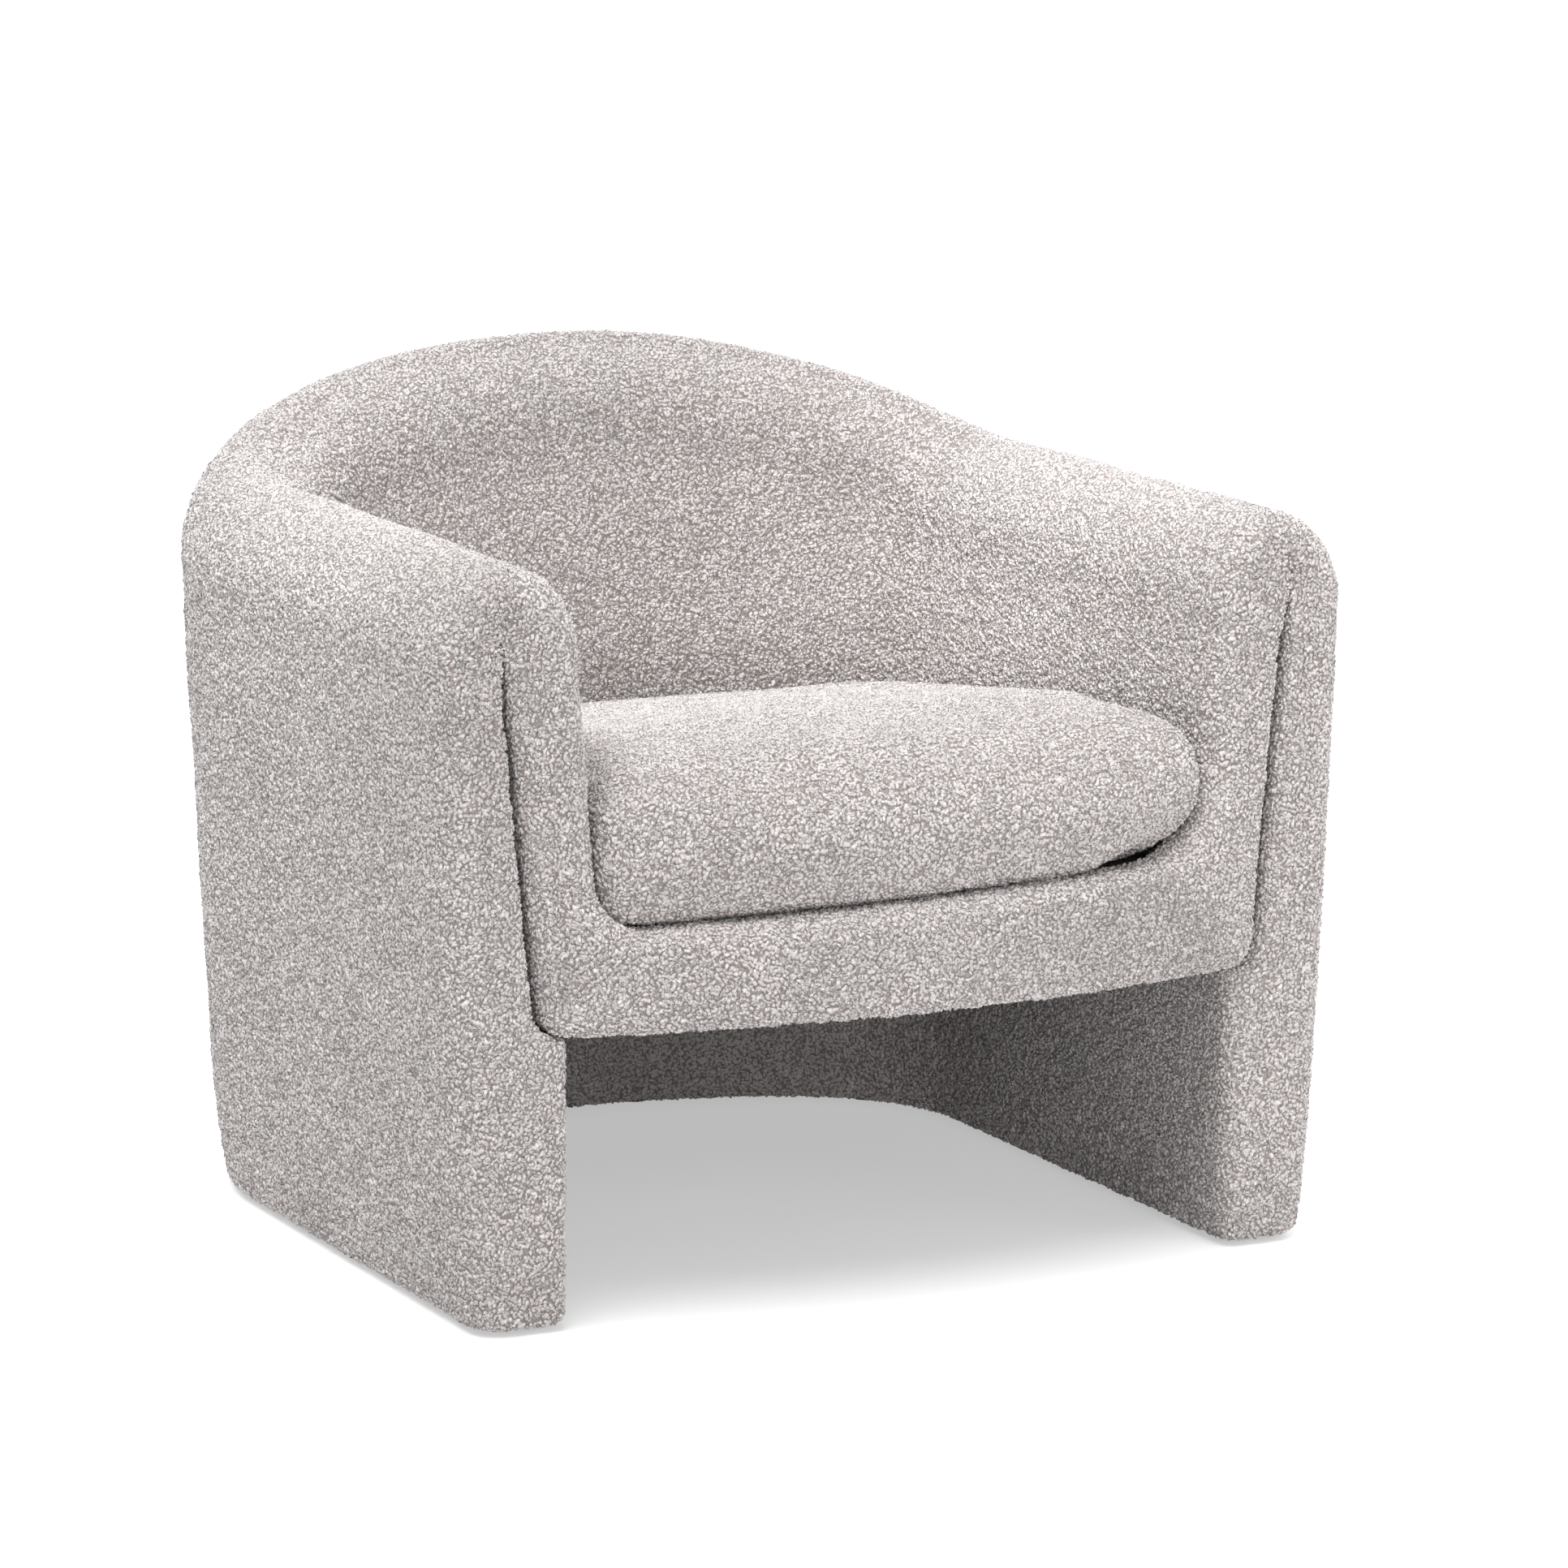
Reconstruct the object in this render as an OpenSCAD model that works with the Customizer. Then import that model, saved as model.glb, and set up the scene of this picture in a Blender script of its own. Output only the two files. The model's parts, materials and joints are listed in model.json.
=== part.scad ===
// Tub chair: a padded horseshoe wall that reaches the floor, a bowed front
// apron, a sprung seat deck and a loose seat cushion that lifts straight out.
// The origin is on the floor, in the middle of the chair's box. The front
// faces -Y and +Z is up. The chair is the same on both sides of X = 0.

/* [Overall] */
// Width over the arms at their widest
overall_w = 800; // [775:1:825]
// Depth from the bowed front to the outside back
overall_d = 823; // [800:1:845]
// Height of the arm tops at the front
arm_h = 601; // [585:1:620]
// Height of the rim at the middle of the back
back_h = 689; // [670:1:710]

/* [Wall] */
// Thickness of the wall at the floor
wall_t = 73; // [72:1:80]
// Lean of the outside of the wall, from the floor to the roll
out_lean = 34.5; // [30:0.5:40]
// Lean of the inside of the wall at the roll
in_lean = 17.5; // [14:0.5:20]
// Lean of the inside of the legs, from the floor to the seat frame
leg_lean = 1.5; // [0:0.5:3]
// Radius of the outer half of the rolled rim
roll_ro = 73.5; // [70:0.5:76]
// Radius of the inner half of the rolled rim
roll_ri = 70.5; // [67:0.5:73]
// Plan radius of the back corners, at the middle of the wall
corner_r = 184; // [175:1:195]
// Angle that each back corner turns through
corner_turn = 62; // [60:1:64]
// Climb of the arm tops from front to back
arm_climb = 6; // [0:1:10]
// How far in front of the back the rim starts to rise
rise_len = 213; // [200:1:225]
// Clear height of the covers over the floor
glide_h = 5; // [4:0.5:8]

/* [Seat] */
// Width between the arms at the seat
seat_w = 535; // [525:1:545]
// Extra padding of the inside back at the seat
lumbar = 50; // [40:1:58]
// Height of the front edge of the seat deck
deck_h = 321; // [318:1:327]
// Fall of the seat deck from front to back
deck_fall = 13; // [8:1:14]
// Height of the cushion's crest, near its front
cushion_h = 441; // [430:1:452]
// Height of the cushion at the back
cushion_back_h = 383; // [375:1:395]
// Gap round the loose cushion
cushion_gap = 1.5; // [1:0.5:4]
// Radius of the cushion's rounded nose
nose_r = 60; // [54:1:64]
// Plan radius of the cushion's front corners
cushion_corner_r = 28; // [24:1:34]

/* [Front] */
// Bow of the apron in front of the arms
bow = 51; // [44:1:58]
// Depth of the padded facings and of the apron pad
facing_t = 30; // [27:1:34]
// Height of the apron's lower edge
apron_z = 234.5; // [230:0.5:236]
// Rounding of the facings' outer edge
face_r = 25; // [20:1:28]
// Rounding of the apron's upper edge
apron_r = 16; // [12:1:20]
// Rounding of the inner edge of each leg's front
leg_edge_r = 12; // [8:1:16]
// Rounding at the sewn seams of the front
seam_r = 6; // [4:0.5:8]
// Distance of the front seam from the middle, at the apron
seam_low_x = 318; // [314:1:321]
// Distance of the front seam from the middle, at the arm tops
seam_top_x = 347; // [342:1:350]
// Radius of the apron pad's lower corners
apron_corner_r = 24; // [20:1:28]
// Radius of the inner corners of the apron pad, round the cushion
pocket_r = 38; // [32:1:44]

/* [Upholstery layers] */
// Thickness of the looped cover with its batting
cover_t = 4; // [3:0.5:5]
// Thickness of the outer foam
foam_t = 8; // [6:0.5:9]
// Thickness of the bent hardboard
board_t = 3; // [2.5:0.5:3.5]
// Gap between neighbouring layers
layer_gap = 0.3; // [0.3:0.1:0.4]

/* [Frame] */
// Thickness of the plywood rings and rails
ply_t = 18; // [15:1:20]
// Width of the front posts
post_w = 40; // [34:1:44]
// Height of the seat ring's underside
ring_z = 240; // [238:0.5:241]
// Height of the seat rails on the ring
rail_h = 23; // [20:1:25]
// Thickness of the bowed front rail
front_rail_t = 22; // [18:1:26]
// Drop of the arm former's top below the arm tops
arm_former_drop = 40; // [38:1:44]
// Drop of the back former's top below the rim
back_former_drop = 67; // [64:1:72]
// Top of the bent hardboard
board_top = 500; // [480:1:505]

/* [Springs] */
// Number of spring rows
spring_count = 5; // [4:1:6]
// Wire diameter of the seat springs
wire_d = 3.8; // [3.4:0.1:4.2]
// Width of each zigzag spring
spring_w = 50; // [44:1:56]
// Bend radius of the wire
wire_bend_r = 17; // [16:1:19]
// Rise of the sprung deck in the middle
spring_crown = 11; // [8:1:12]

/* [Hidden] */
$fn = 96;

// Overrun of the cuts
cut = 5;
// Power of the outer lean: it starts steep at the floor
lean_power = 0.53;
// Share of its full S-curve that the rim reaches at the back
rise_reach_share = 0.573;
// Height below which the inner padding has its full thickness
padding_z = 400;
// Height at which the apron's bow has faded into the flat facings
bow_fade_z = 420;
// Height of the fan of the facings' roundings, below the arm tops
fan_drop = 45;
// Gap between sewn or butted front pads
pad_gap = 0.3;
// Stations along the tub and points round its section
n_side = 3;
n_corner = 8;
n_back = 6;
n_wall = 5;
n_roll = 5;
n_inner = 6;

// Lean and offsets of the wall, measured from its middle line
lean_h = arm_h - roll_ro;
spine_x = overall_w / 2 - wall_t / 2 - out_lean;
function out_off(z) = wall_t / 2 + out_lean * pow(max(z, 0) / lean_h, lean_power);
function top_off(z) = wall_t / 2 + in_lean * z / lean_h;
function leg_off(z) = wall_t / 2 + leg_lean * z / ring_z;

// Plan of the middle line: straight arms, two corners, one wide back arc
spine_back_y = overall_d / 2 - out_off(back_h - roll_ro);
corner_x = spine_x - corner_r;
arc_step = corner_x / cos(corner_turn);
back_r = corner_r + arc_step;
back_cy = spine_back_y - back_r;
corner_y = back_cy + arc_step * sin(corner_turn);
face_y = bow - overall_d / 2;
wall_y = face_y + facing_t + layer_gap;

// Height of the rim
function ease(t) = let (c = min(1, max(0, t))) c * c * (3 - 2 * c);
rise_y = spine_back_y - rise_len;
rise_run = rise_len / rise_reach_share;
rim_rise = (back_h - arm_h - arm_climb) / ease(rise_reach_share);
function rim_z(y) = arm_h + arm_climb * (y - face_y) / (spine_back_y - face_y)
    + rim_rise * ease((y - rise_y) / rise_run);

// Inner face above the seat: thicker than the legs, thickest at the back
arm_in = spine_x - seat_w / 2;
function seat_off(y) = arm_in + lumbar * ease((y - corner_y) / (spine_back_y - corner_y));
function in_off(z, y) = let (spring = rim_z(y) - roll_ri, top = top_off(spring))
    top + (seat_off(y) - top) * ease((spring - z) / (spring - padding_z));

// Bow of the front
bow_r = (seam_low_x * seam_low_x + bow * bow) / (2 * bow);
bow_cy = bow_r - overall_d / 2;
function bow_y(x) = bow_cy - sqrt(bow_r * bow_r - x * x);
function front_y(x, z) = face_y
    + min(0, bow_y(x) - face_y) * ease((bow_fade_z - z) / (bow_fade_z - deck_h));

// Seat deck
seat_back_y = spine_back_y - arm_in - lumbar;
deck_span = seat_back_y - face_y;
function deck_z(y) = deck_h - deck_fall * (y - face_y) / deck_span;
ring_top = ring_z + ply_t;
rail_top = ring_top + rail_h;
tuck_z = rail_top + layer_gap;

// Frame offsets from the middle line
rib_in = 29;
former_out = 42;
ring_in = 58;
rail_out = 34;
strap_t = 2;
frame_slack = 0.8;
rib_skin = cover_t + foam_t + board_t + 3 * layer_gap + frame_slack;
function rib_out(z) = out_off(z) - rib_skin;
facing_board_t = 5;
frame_y = wall_y + facing_board_t + layer_gap;
arm_former_z = arm_h - arm_former_drop - ply_t;
back_former_z = back_h - back_former_drop - ply_t;
stud_t = ply_t;
arm_stud_y = corner_y - 96;
back_stud_turn = 80;
// Height over which the tops of the studs taper in to the formers
stud_taper = 30;

// Station: place on the middle line and its outward normal
function half_path(y0) = concat(
    [for (i = [0 : n_side - 1]) [spine_x, y0 + (corner_y - y0) * i / n_side, 1, 0]],
    [for (i = [0 : n_corner - 1]) let (a = corner_turn * i / n_corner)
        [corner_x + corner_r * cos(a), corner_y + corner_r * sin(a), cos(a), sin(a)]],
    [for (i = [0 : n_back]) let (a = corner_turn + (90 - corner_turn) * i / n_back)
        [back_r * cos(a), back_cy + back_r * sin(a), cos(a), sin(a)]]);
function arc_path() = concat([[spine_x, corner_y, 1, 0]],
    [for (s = half_path(corner_y)) if (s[2] < 1) s]);
function flip(s) = [-s[0], s[1], -s[2], s[3]];
function reverse(list) = [for (i = [len(list) - 1 : -1 : 0]) list[i]];
function full_path(y0) = let (h = half_path(y0), r = reverse(h))
    concat(h, [for (i = [1 : len(r) - 1]) flip(r[i])]);

// Heights shared by all the layers that follow the outer lean
lean_zs = [for (i = [0 : n_wall]) glide_h + (board_top - glide_h) * pow(i / n_wall, 2)];

// Contour of the wall at one station, inset by d: up the outside, over the
// roll and down the inside. Each point is an offset and a height.
function contour(y, d, z_out, z_in) = let (
        zo = rim_z(y) - roll_ro,
        zi = rim_z(y) - roll_ri,
        co = out_off(zo) - roll_ro,
        ci = roll_ri - top_off(zi),
        xm = (co + ci) / 2,
        ao = co < ci ? acos((xm - co) / (roll_ro - d)) : 90,
        ai = co < ci ? acos((ci - xm) / (roll_ri - d)) : 90)
    concat(
        [for (z = concat(z_out > glide_h ? [z_out] : [], [for (z = lean_zs) if (z >= z_out) z]))
            [out_off(z) - d, z]],
        [for (i = [0 : n_roll]) let (a = ao * i / n_roll)
            [co + (roll_ro - d) * cos(a), zo + (roll_ro - d) * sin(a)]],
        [for (i = [n_roll - 1 : -1 : 0]) let (a = ai * i / n_roll)
            [ci - (roll_ri - d) * cos(a), zi + (roll_ri - d) * sin(a)]],
        [for (i = [1 : n_inner]) let (z = zi + (z_in - zi) * i / n_inner)
            [d - in_off(z, y), z]]);
function place_ring(s, ring) = [for (p = ring) [s[0] + s[2] * p[0], s[1] + s[3] * p[0], p[1]]];

// Solid between closed rings of equal length. Layers that lie on each other
// split their facets along the same diagonal. The ends of a folded strip are
// closed from its outer line straight across to its inner line.
module loft(rings, swap = false, strip = false) {
    m = len(rings[0]);
    n = len(rings);
    points = [for (r = rings) each r];
    sides = [for (i = [0 : n - 2]) for (j = [0 : m - 1]) let (
            a = i * m + j,
            b = i * m + (j + 1) % m)
        each swap ? [[a, b, a + m], [b, b + m, a + m]] : [[a, b, b + m], [a, b + m, a + m]]];
    last = (n - 1) * m;
    start = strip ? [for (j = [0 : m / 2 - 2]) [m - 1 - j, m - 2 - j, j + 1, j]]
        : [[for (j = [m - 1 : -1 : 0]) j]];
    end = [for (f = start) [for (j = reverse(f)) last + j]];
    polyhedron(points, concat(sides, start, end));
}

// Plan of everything inside a line at one offset from the middle line
module tub_plan(off, y0) {
    far = 2 * overall_d;
    for (side = [-1, 1]) translate([side * corner_x, corner_y]) circle(r = corner_r + off);
    translate([-spine_x - off, y0]) square([2 * (spine_x + off), corner_y - y0]);
    intersection() {
        translate([0, back_cy]) circle(r = back_r + off);
        translate([0, back_cy]) polygon([
            [0, 0], [far * cos(corner_turn), far * sin(corner_turn)],
            [-far * cos(corner_turn), far * sin(corner_turn)]]);
    }
}
module tub_ring(off_a, off_b, z_a, z_b) {
    translate([0, 0, z_a]) linear_extrude(z_b - z_a) difference() {
        tub_plan(off_b, frame_y);
        tub_plan(off_a, frame_y - cut);
    }
}
module bar_section(off_a, off_b, z_a, z_b) {
    translate([off_a, z_a]) square([off_b - off_a, z_b - z_a]);
}
// A layer that follows the outer lean, up to the top of the hardboard
module leaning_layer(inset, t) {
    ring = concat(
        [for (z = lean_zs) [out_off(z) - inset, z]],
        [for (z = reverse(lean_zs)) [out_off(z) - inset - t, z]]);
    loft([for (s = full_path(frame_y)) place_ring(s, ring)]);
}
// A layer that follows the inside of the legs
module lining_layer(y0, inset, t, z_a, z_b) {
    ring = [
        [inset + t - leg_off(z_a), z_a], [inset + t - leg_off(z_b), z_b],
        [inset - leg_off(z_b), z_b], [inset - leg_off(z_a), z_a]];
    loft([for (s = full_path(y0)) place_ring(s, ring)]);
}

// Places of the studs: x, y, turn, top height, thickness
function corner_place(a) =
    [corner_x + corner_r * cos(a), corner_y + corner_r * sin(a), a, back_former_z, stud_t];
function back_place(a) =
    [back_r * cos(a), back_cy + back_r * sin(a), a, back_former_z, stud_t];
post_place = [spine_x, frame_y + layer_gap + post_w / 2, 0, arm_former_z, post_w];
arm_place = [spine_x, arm_stud_y, 0, arm_former_z, stud_t];
stud_places = [post_place, arm_place, corner_place(corner_turn), back_place(back_stud_turn)];
module at_stud(p) {
    translate([p[0], p[1], 0]) rotate([0, 0, p[2]]) children();
}
module stud_plate(p, grow) {
    foot = glide_h + ply_t;
    taper_z = p[3] - stud_taper;
    zs = concat([foot], [for (z = lean_zs) if (z > foot) z], [taper_z]);
    translate([0, p[4] / 2 + grow, 0]) rotate([90, 0, 0]) linear_extrude(p[4] + 2 * grow)
        polygon(concat(
            [[-rib_in - grow, p[3]], [-rib_in - grow, foot]],
            [for (z = zs) [rib_out(z), z]],
            [[former_out, p[3]]]));
}
module stud(p) {
    color("burlywood") at_stud(p) stud_plate(p, 0);
}
module stud_notches() {
    notch = ring_in + former_out;
    for (side = [0, 1]) mirror([side, 0, 0]) for (p = stud_places) at_stud(p)
        translate([-rib_in - layer_gap, -p[4] / 2 - layer_gap, ring_z - cut])
            cube([notch, p[4] + 2 * layer_gap, ply_t + 2 * cut]);
}

// Screws and glides: places on one side, mirrored to the other
screw_d = 4;
screw_head_d = 8;
screw_head_h = 3;
screw_len = 34;
screw_gap = 0.1;
screw_inset = 12;
screw_x = spine_x - ring_in + screw_inset;
back_rail_set = 62;
back_rail_y = seat_back_y - back_rail_set;
back_rail_w = 26;
back_rail_half = 285;
screw_places = [
    [screw_x, frame_y + 2 * post_w], [screw_x, (frame_y + corner_y) / 2],
    [screw_x, corner_y - post_w], [back_rail_half - screw_inset, back_rail_y]];
module at_screws() {
    for (side = [0, 1]) mirror([side, 0, 0]) for (p = screw_places)
        translate([p[0], p[1], ring_z]) children();
}
module screw_shape(grow, length) {
    cylinder(h = screw_head_h, d1 = screw_head_d + 2 * grow, d2 = screw_d + 2 * grow);
    cylinder(h = length, d = screw_d + 2 * grow);
}
glide_d = 24;
glide_lip = 1.2;
nail_d = 3.2;
nail_len = 15;
nail_gap = 0.1;
glide_inset = 30;
function ring_mid(z) = (rib_out(z) - rib_in) / 2;
glide_off = ring_mid(glide_h);
corner_glide_turn = 45;
glide_places = [
    [spine_x + glide_off, frame_y + glide_inset],
    [spine_x + glide_off, corner_y - glide_inset],
    [corner_x + (corner_r + glide_off) * cos(corner_glide_turn),
        corner_y + (corner_r + glide_off) * sin(corner_glide_turn)],
    [(back_r + glide_off) * cos(back_stud_turn), back_cy + (back_r + glide_off) * sin(back_stud_turn)]];
module at_glides() {
    for (side = [0, 1]) mirror([side, 0, 0]) for (p = glide_places)
        translate([p[0], p[1], 0]) children();
}

// Frame
module base_ring() {
    color("burlywood") difference() {
        tub_ring(-rib_in, rib_out(glide_h), glide_h, glide_h + ply_t - layer_gap);
        at_glides() translate([0, 0, glide_h - cut])
            cylinder(h = nail_len + cut, d = nail_d + 2 * nail_gap);
    }
}
module seat_ring() {
    color("burlywood") difference() {
        tub_ring(-ring_in, rib_out(ring_z), ring_z, ring_top);
        stud_notches();
        at_screws() screw_shape(screw_gap, screw_len + cut);
    }
}
module arm_former() {
    color("burlywood") difference() {
        union() {
            translate([spine_x - rib_in, frame_y, arm_former_z + layer_gap])
                cube([rib_in + former_out, corner_y - frame_y, ply_t - layer_gap]);
            translate([corner_x, corner_y, 0]) rotate_extrude(angle = corner_turn)
                translate([corner_r, 0])
                    bar_section(-rib_in, former_out, arm_former_z + layer_gap, arm_former_z + ply_t);
        }
        at_stud(corner_place(corner_turn))
            translate([-corner_r / 2, -stud_t / 2 - layer_gap, arm_former_z - cut])
                cube([corner_r, stud_t + cut, ply_t + 2 * cut]);
    }
}
module back_former() {
    end_turn = corner_turn - asin(stud_t / 2 / back_r);
    color("burlywood") translate([0, back_cy, 0]) rotate([0, 0, end_turn])
        rotate_extrude(angle = 180 - 2 * end_turn) translate([back_r, 0])
            bar_section(cover_t - rib_in, former_out, back_former_z + layer_gap, back_former_z + ply_t);
}
module seat_rail() {
    color("burlywood") difference() {
        translate([spine_x - ring_in, frame_y, ring_top + layer_gap])
            cube([ring_in - rail_out, corner_y - frame_y, rail_h - layer_gap]);
        at_screws() cylinder(h = screw_len + 1, d = screw_d + 2 * screw_gap);
    }
}
rail_end_x = spine_x - ring_in - layer_gap;
rail_front_r = bow_r - facing_t - layer_gap - frame_slack;
// Facets of the wide bow, as fine as those of the small rounds
bow_fn = 720;
module front_seat_rail() {
    color("burlywood") translate([0, 0, ring_z - layer_gap]) difference() {
        intersection() {
            translate([0, bow_cy, 0]) cylinder(h = rail_top - ring_z, r = rail_front_r, $fn = bow_fn);
            translate([-rail_end_x, -overall_d / 2, -cut])
                cube([2 * rail_end_x, overall_d / 2, rail_top]);
        }
        translate([0, bow_cy, -cut])
            cylinder(h = rail_top, r = rail_front_r - front_rail_t, $fn = bow_fn);
    }
}
module back_seat_rail() {
    color("burlywood") difference() {
        translate([-back_rail_half, back_rail_y - back_rail_w / 2, ring_top + layer_gap])
            cube([2 * back_rail_half, back_rail_w, rail_h - layer_gap]);
        at_screws() cylinder(h = screw_len + 1, d = screw_d + 2 * screw_gap);
    }
}
block_leg = 70;
module glue_block() {
    color("burlywood") intersection() {
        translate([rail_end_x, -sqrt(pow(rail_front_r - front_rail_t, 2) - pow(rail_end_x, 2)) + bow_cy, ring_z])
            linear_extrude(rail_top - ring_z) polygon([
                [0, -cut * 4], [0, block_leg], [-block_leg, -cut * 4]]);
        translate([0, bow_cy, 0])
            cylinder(h = rail_top, r = rail_front_r - front_rail_t - layer_gap, $fn = bow_fn);
    }
}

// Boards and webbing
module facing_board() {
    inset = cover_t + layer_gap;
    top = contour(wall_y, inset, glide_h, tuck_z);
    color("tan") translate([spine_x, frame_y - layer_gap, 0]) rotate([90, 0, 0])
        linear_extrude(facing_board_t) polygon(concat(top, [
            [inset - in_off(tuck_z, wall_y), ring_z],
            [inset - leg_off(ring_z), ring_z],
            [inset - leg_off(glide_h), glide_h]]));
}
module outer_board() {
    color("saddlebrown") leaning_layer(cover_t + foam_t + 2 * layer_gap, board_t);
}
module lining_board() {
    color("saddlebrown")
        lining_layer(frame_y, cover_t + layer_gap, board_t, glide_h + ply_t, ring_z - layer_gap);
}
strap_w = 50;
strap_step = 78;
strap_z = 306;
strap_rows = 3;
module tub_webbing() {
    color("black") for (i = [0 : strap_rows - 1])
        tub_ring(-rib_in - layer_gap - strap_t, -rib_in - layer_gap,
            strap_z + strap_step * i, strap_z + strap_step * i + strap_w);
}

// Seat springs: rows that zigzag from the front rail to the back rail
clip_t = 1.2;
clip_w = 14;
wire_gap = 0.3;
wire_r = wire_d / 2;
clip_r = wire_r + wire_gap;
wire_z = rail_top + clip_t + clip_r;
spring_step = (seat_w - spring_w - 2 * rail_out) / spring_count;
function spring_x(i) = spring_step * (i - (spring_count - 1) / 2);
function spring_y0(x) = bow_cy - sqrt(pow(rail_front_r - front_rail_t / 2, 2) - x * x);
spring_y1 = back_rail_y;
wire_sides = 5;
bend_steps = 4;
function spring_path(x0) = let (
        y0 = spring_y0(x0),
        n = 2 * floor((spring_y1 - y0) / (4 * wire_bend_r)),
        r = (spring_y1 - y0) / n / 2,
        reach = spring_w / 2 - r)
    concat([[x0 - reach, y0]],
        [for (i = [0 : n - 1]) let (side = i % 2 == 0 ? 1 : -1, yc = y0 + r * (2 * i + 1))
            for (k = [0 : bend_steps]) let (a = -90 + 180 * k / bend_steps)
                [x0 + side * (reach + r * cos(a)), yc + r * sin(a)]],
        [[x0 + reach, spring_y1]]);
function spring_z(y, y0) = let (t = (y - y0) / (spring_y1 - y0))
    wire_z + 4 * spring_crown * t * (1 - t);
function unit(v) = v / norm(v);
module wire(path) {
    n = len(path);
    rings = [for (i = [0 : n - 1]) let (
            t = unit(path[min(i + 1, n - 1)] - path[max(i - 1, 0)]),
            side = unit(cross([0, 0, 1], t)),
            up = cross(t, side))
        [for (k = [0 : wire_sides - 1]) let (a = 360 * k / wire_sides)
            path[i] + wire_r * (side * sin(a) + up * cos(a))]];
    loft(rings);
}
module seat_springs() {
    color("dimgray") for (i = [0 : spring_count - 1]) {
        flat = spring_path(spring_x(i));
        wire([for (p = flat) [p[0], p[1], spring_z(p[1], flat[0][1])]]);
    }
}
module clip() {
    rotate([0, 90, 0]) translate([0, 0, -clip_w / 2]) difference() {
        cylinder(h = clip_w, r = clip_r + clip_t);
        translate([0, 0, -cut]) cylinder(h = clip_w + 2 * cut, r = clip_r);
        translate([0, 0, -cut]) cube([2 * clip_r, 2 * clip_r, clip_w + 2 * cut]);
    }
    translate([-clip_w / 2, -2 * clip_r, -clip_r - clip_t]) cube([clip_w, 4 * clip_r, clip_t]);
}
module spring_clips() {
    color("silver") for (i = [0 : spring_count - 1]) {
        translate([spring_x(i), spring_y0(spring_x(i)), wire_z]) clip();
        translate([spring_x(i), spring_y1, wire_z]) mirror([0, 1, 0]) clip();
    }
}

// Seat deck, cut to the pocket between the arms
function half_pocket(gap) = concat(
    [for (i = [0 : n_back]) let (x = (seat_w / 2 - gap) * i / n_back)
        [x, bow_y(x) + facing_t + gap + frame_slack]],
    [for (s = arc_path()) let (o = -seat_off(s[1]) - gap)
        [s[0] + s[2] * o, s[1] + s[3] * o]]);
module pocket(gap) {
    half = half_pocket(gap);
    r = reverse(half);
    polygon(concat(half, [for (i = [1 : len(r) - 2]) [-r[i][0], r[i][1]]]));
}
felt_t = 3;
felt_z = wire_z + spring_crown + wire_r + layer_gap;
cloth_t = 2;
deck_tilt = atan(deck_fall / deck_span);
module deck_layer(z_low, drop, t) {
    intersection() {
        translate([0, 0, z_low]) linear_extrude(deck_h - z_low + cut) pocket(layer_gap * 2);
        translate([-overall_w / 2, face_y, deck_h - drop]) rotate([-deck_tilt, 0, 0])
            translate([0, -overall_d / 2, -t]) cube([overall_w, 2 * overall_d, t]);
    }
}
module spring_felt() {
    color("gray") translate([0, 0, felt_z]) linear_extrude(felt_t) pocket(layer_gap * 2);
}
module deck_foam() {
    color("khaki") deck_layer(felt_z + felt_t + layer_gap, cloth_t + layer_gap, deck_h);
}
module deck_cloth() {
    color("lightgray") deck_layer(felt_z + felt_t, 0, cloth_t);
}
dust_t = 1;
module dust_cover() {
    inset = cover_t / 2;
    half = concat(
        [for (i = [0 : n_back]) let (x = (spine_x - leg_off(ring_z) - inset) * i / n_back)
            [x, bow_y(x) + facing_t + inset]],
        [for (s = arc_path()) let (o = -leg_off(ring_z) - inset)
            [s[0] + s[2] * o, s[1] + s[3] * o]]);
    r = reverse(half);
    color("black") translate([0, 0, ring_z - dust_t - 2 * layer_gap]) linear_extrude(dust_t)
        polygon(concat(half, [for (i = [1 : len(r) - 2]) [-r[i][0], r[i][1]]]));
}

// Foam and covers of the tub
module outer_foam() {
    color("khaki") leaning_layer(cover_t + layer_gap, foam_t);
}
function former_top(y) = let (
        y_a = corner_y + corner_r * sin(corner_turn / 3),
        y_b = corner_y + corner_r * sin(corner_turn * 13 / 15),
        low = arm_former_z + ply_t,
        high = back_former_z + ply_t)
    low + (high - low) * ease((y - y_a) / (y_b - y_a)) + layer_gap;
function foam_ring(y) = let (
        outer = contour(y, cover_t + layer_gap, board_top + layer_gap, tuck_z),
        top = former_top(y),
        shoulder = top - stud_taper,
        web = -rib_in - strap_t - 2 * layer_gap)
    concat(outer, [
        [web, tuck_z], [web, top], [former_out + 2, top],
        [rib_out(shoulder) + frame_slack, shoulder],
        [rib_out(board_top) + frame_slack, board_top + layer_gap]]);
module tub_foam() {
    color("khaki") loft([for (s = full_path(frame_y)) place_ring(s, foam_ring(s[1]))], true);
}
function cover_ring(y) = concat(
    contour(y, 0, glide_h, tuck_z), reverse(contour(y, cover_t, glide_h, tuck_z)));
module tub_cover() {
    color("gainsboro")
        loft([for (s = full_path(wall_y)) place_ring(s, cover_ring(s[1]))], strip = true);
}
module leg_lining() {
    color("gainsboro") lining_layer(wall_y, 0, cover_t, glide_h, ring_z - layer_gap);
}

// Front pads: rows of paired points, from an outer edge to an inner edge.
// Each pair carries a section with a rounded edge at either end.
function quarter(r) = [for (a = [0 : 30 : 90]) [r * (1 - cos(a)), r * (1 - sin(a))]];
function pad_section(w, ra, rb) = concat(
    [[0, facing_t]], quarter(ra), [for (p = reverse(quarter(rb))) [w - p[0], p[1]]],
    [[w, facing_t]]);
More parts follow.
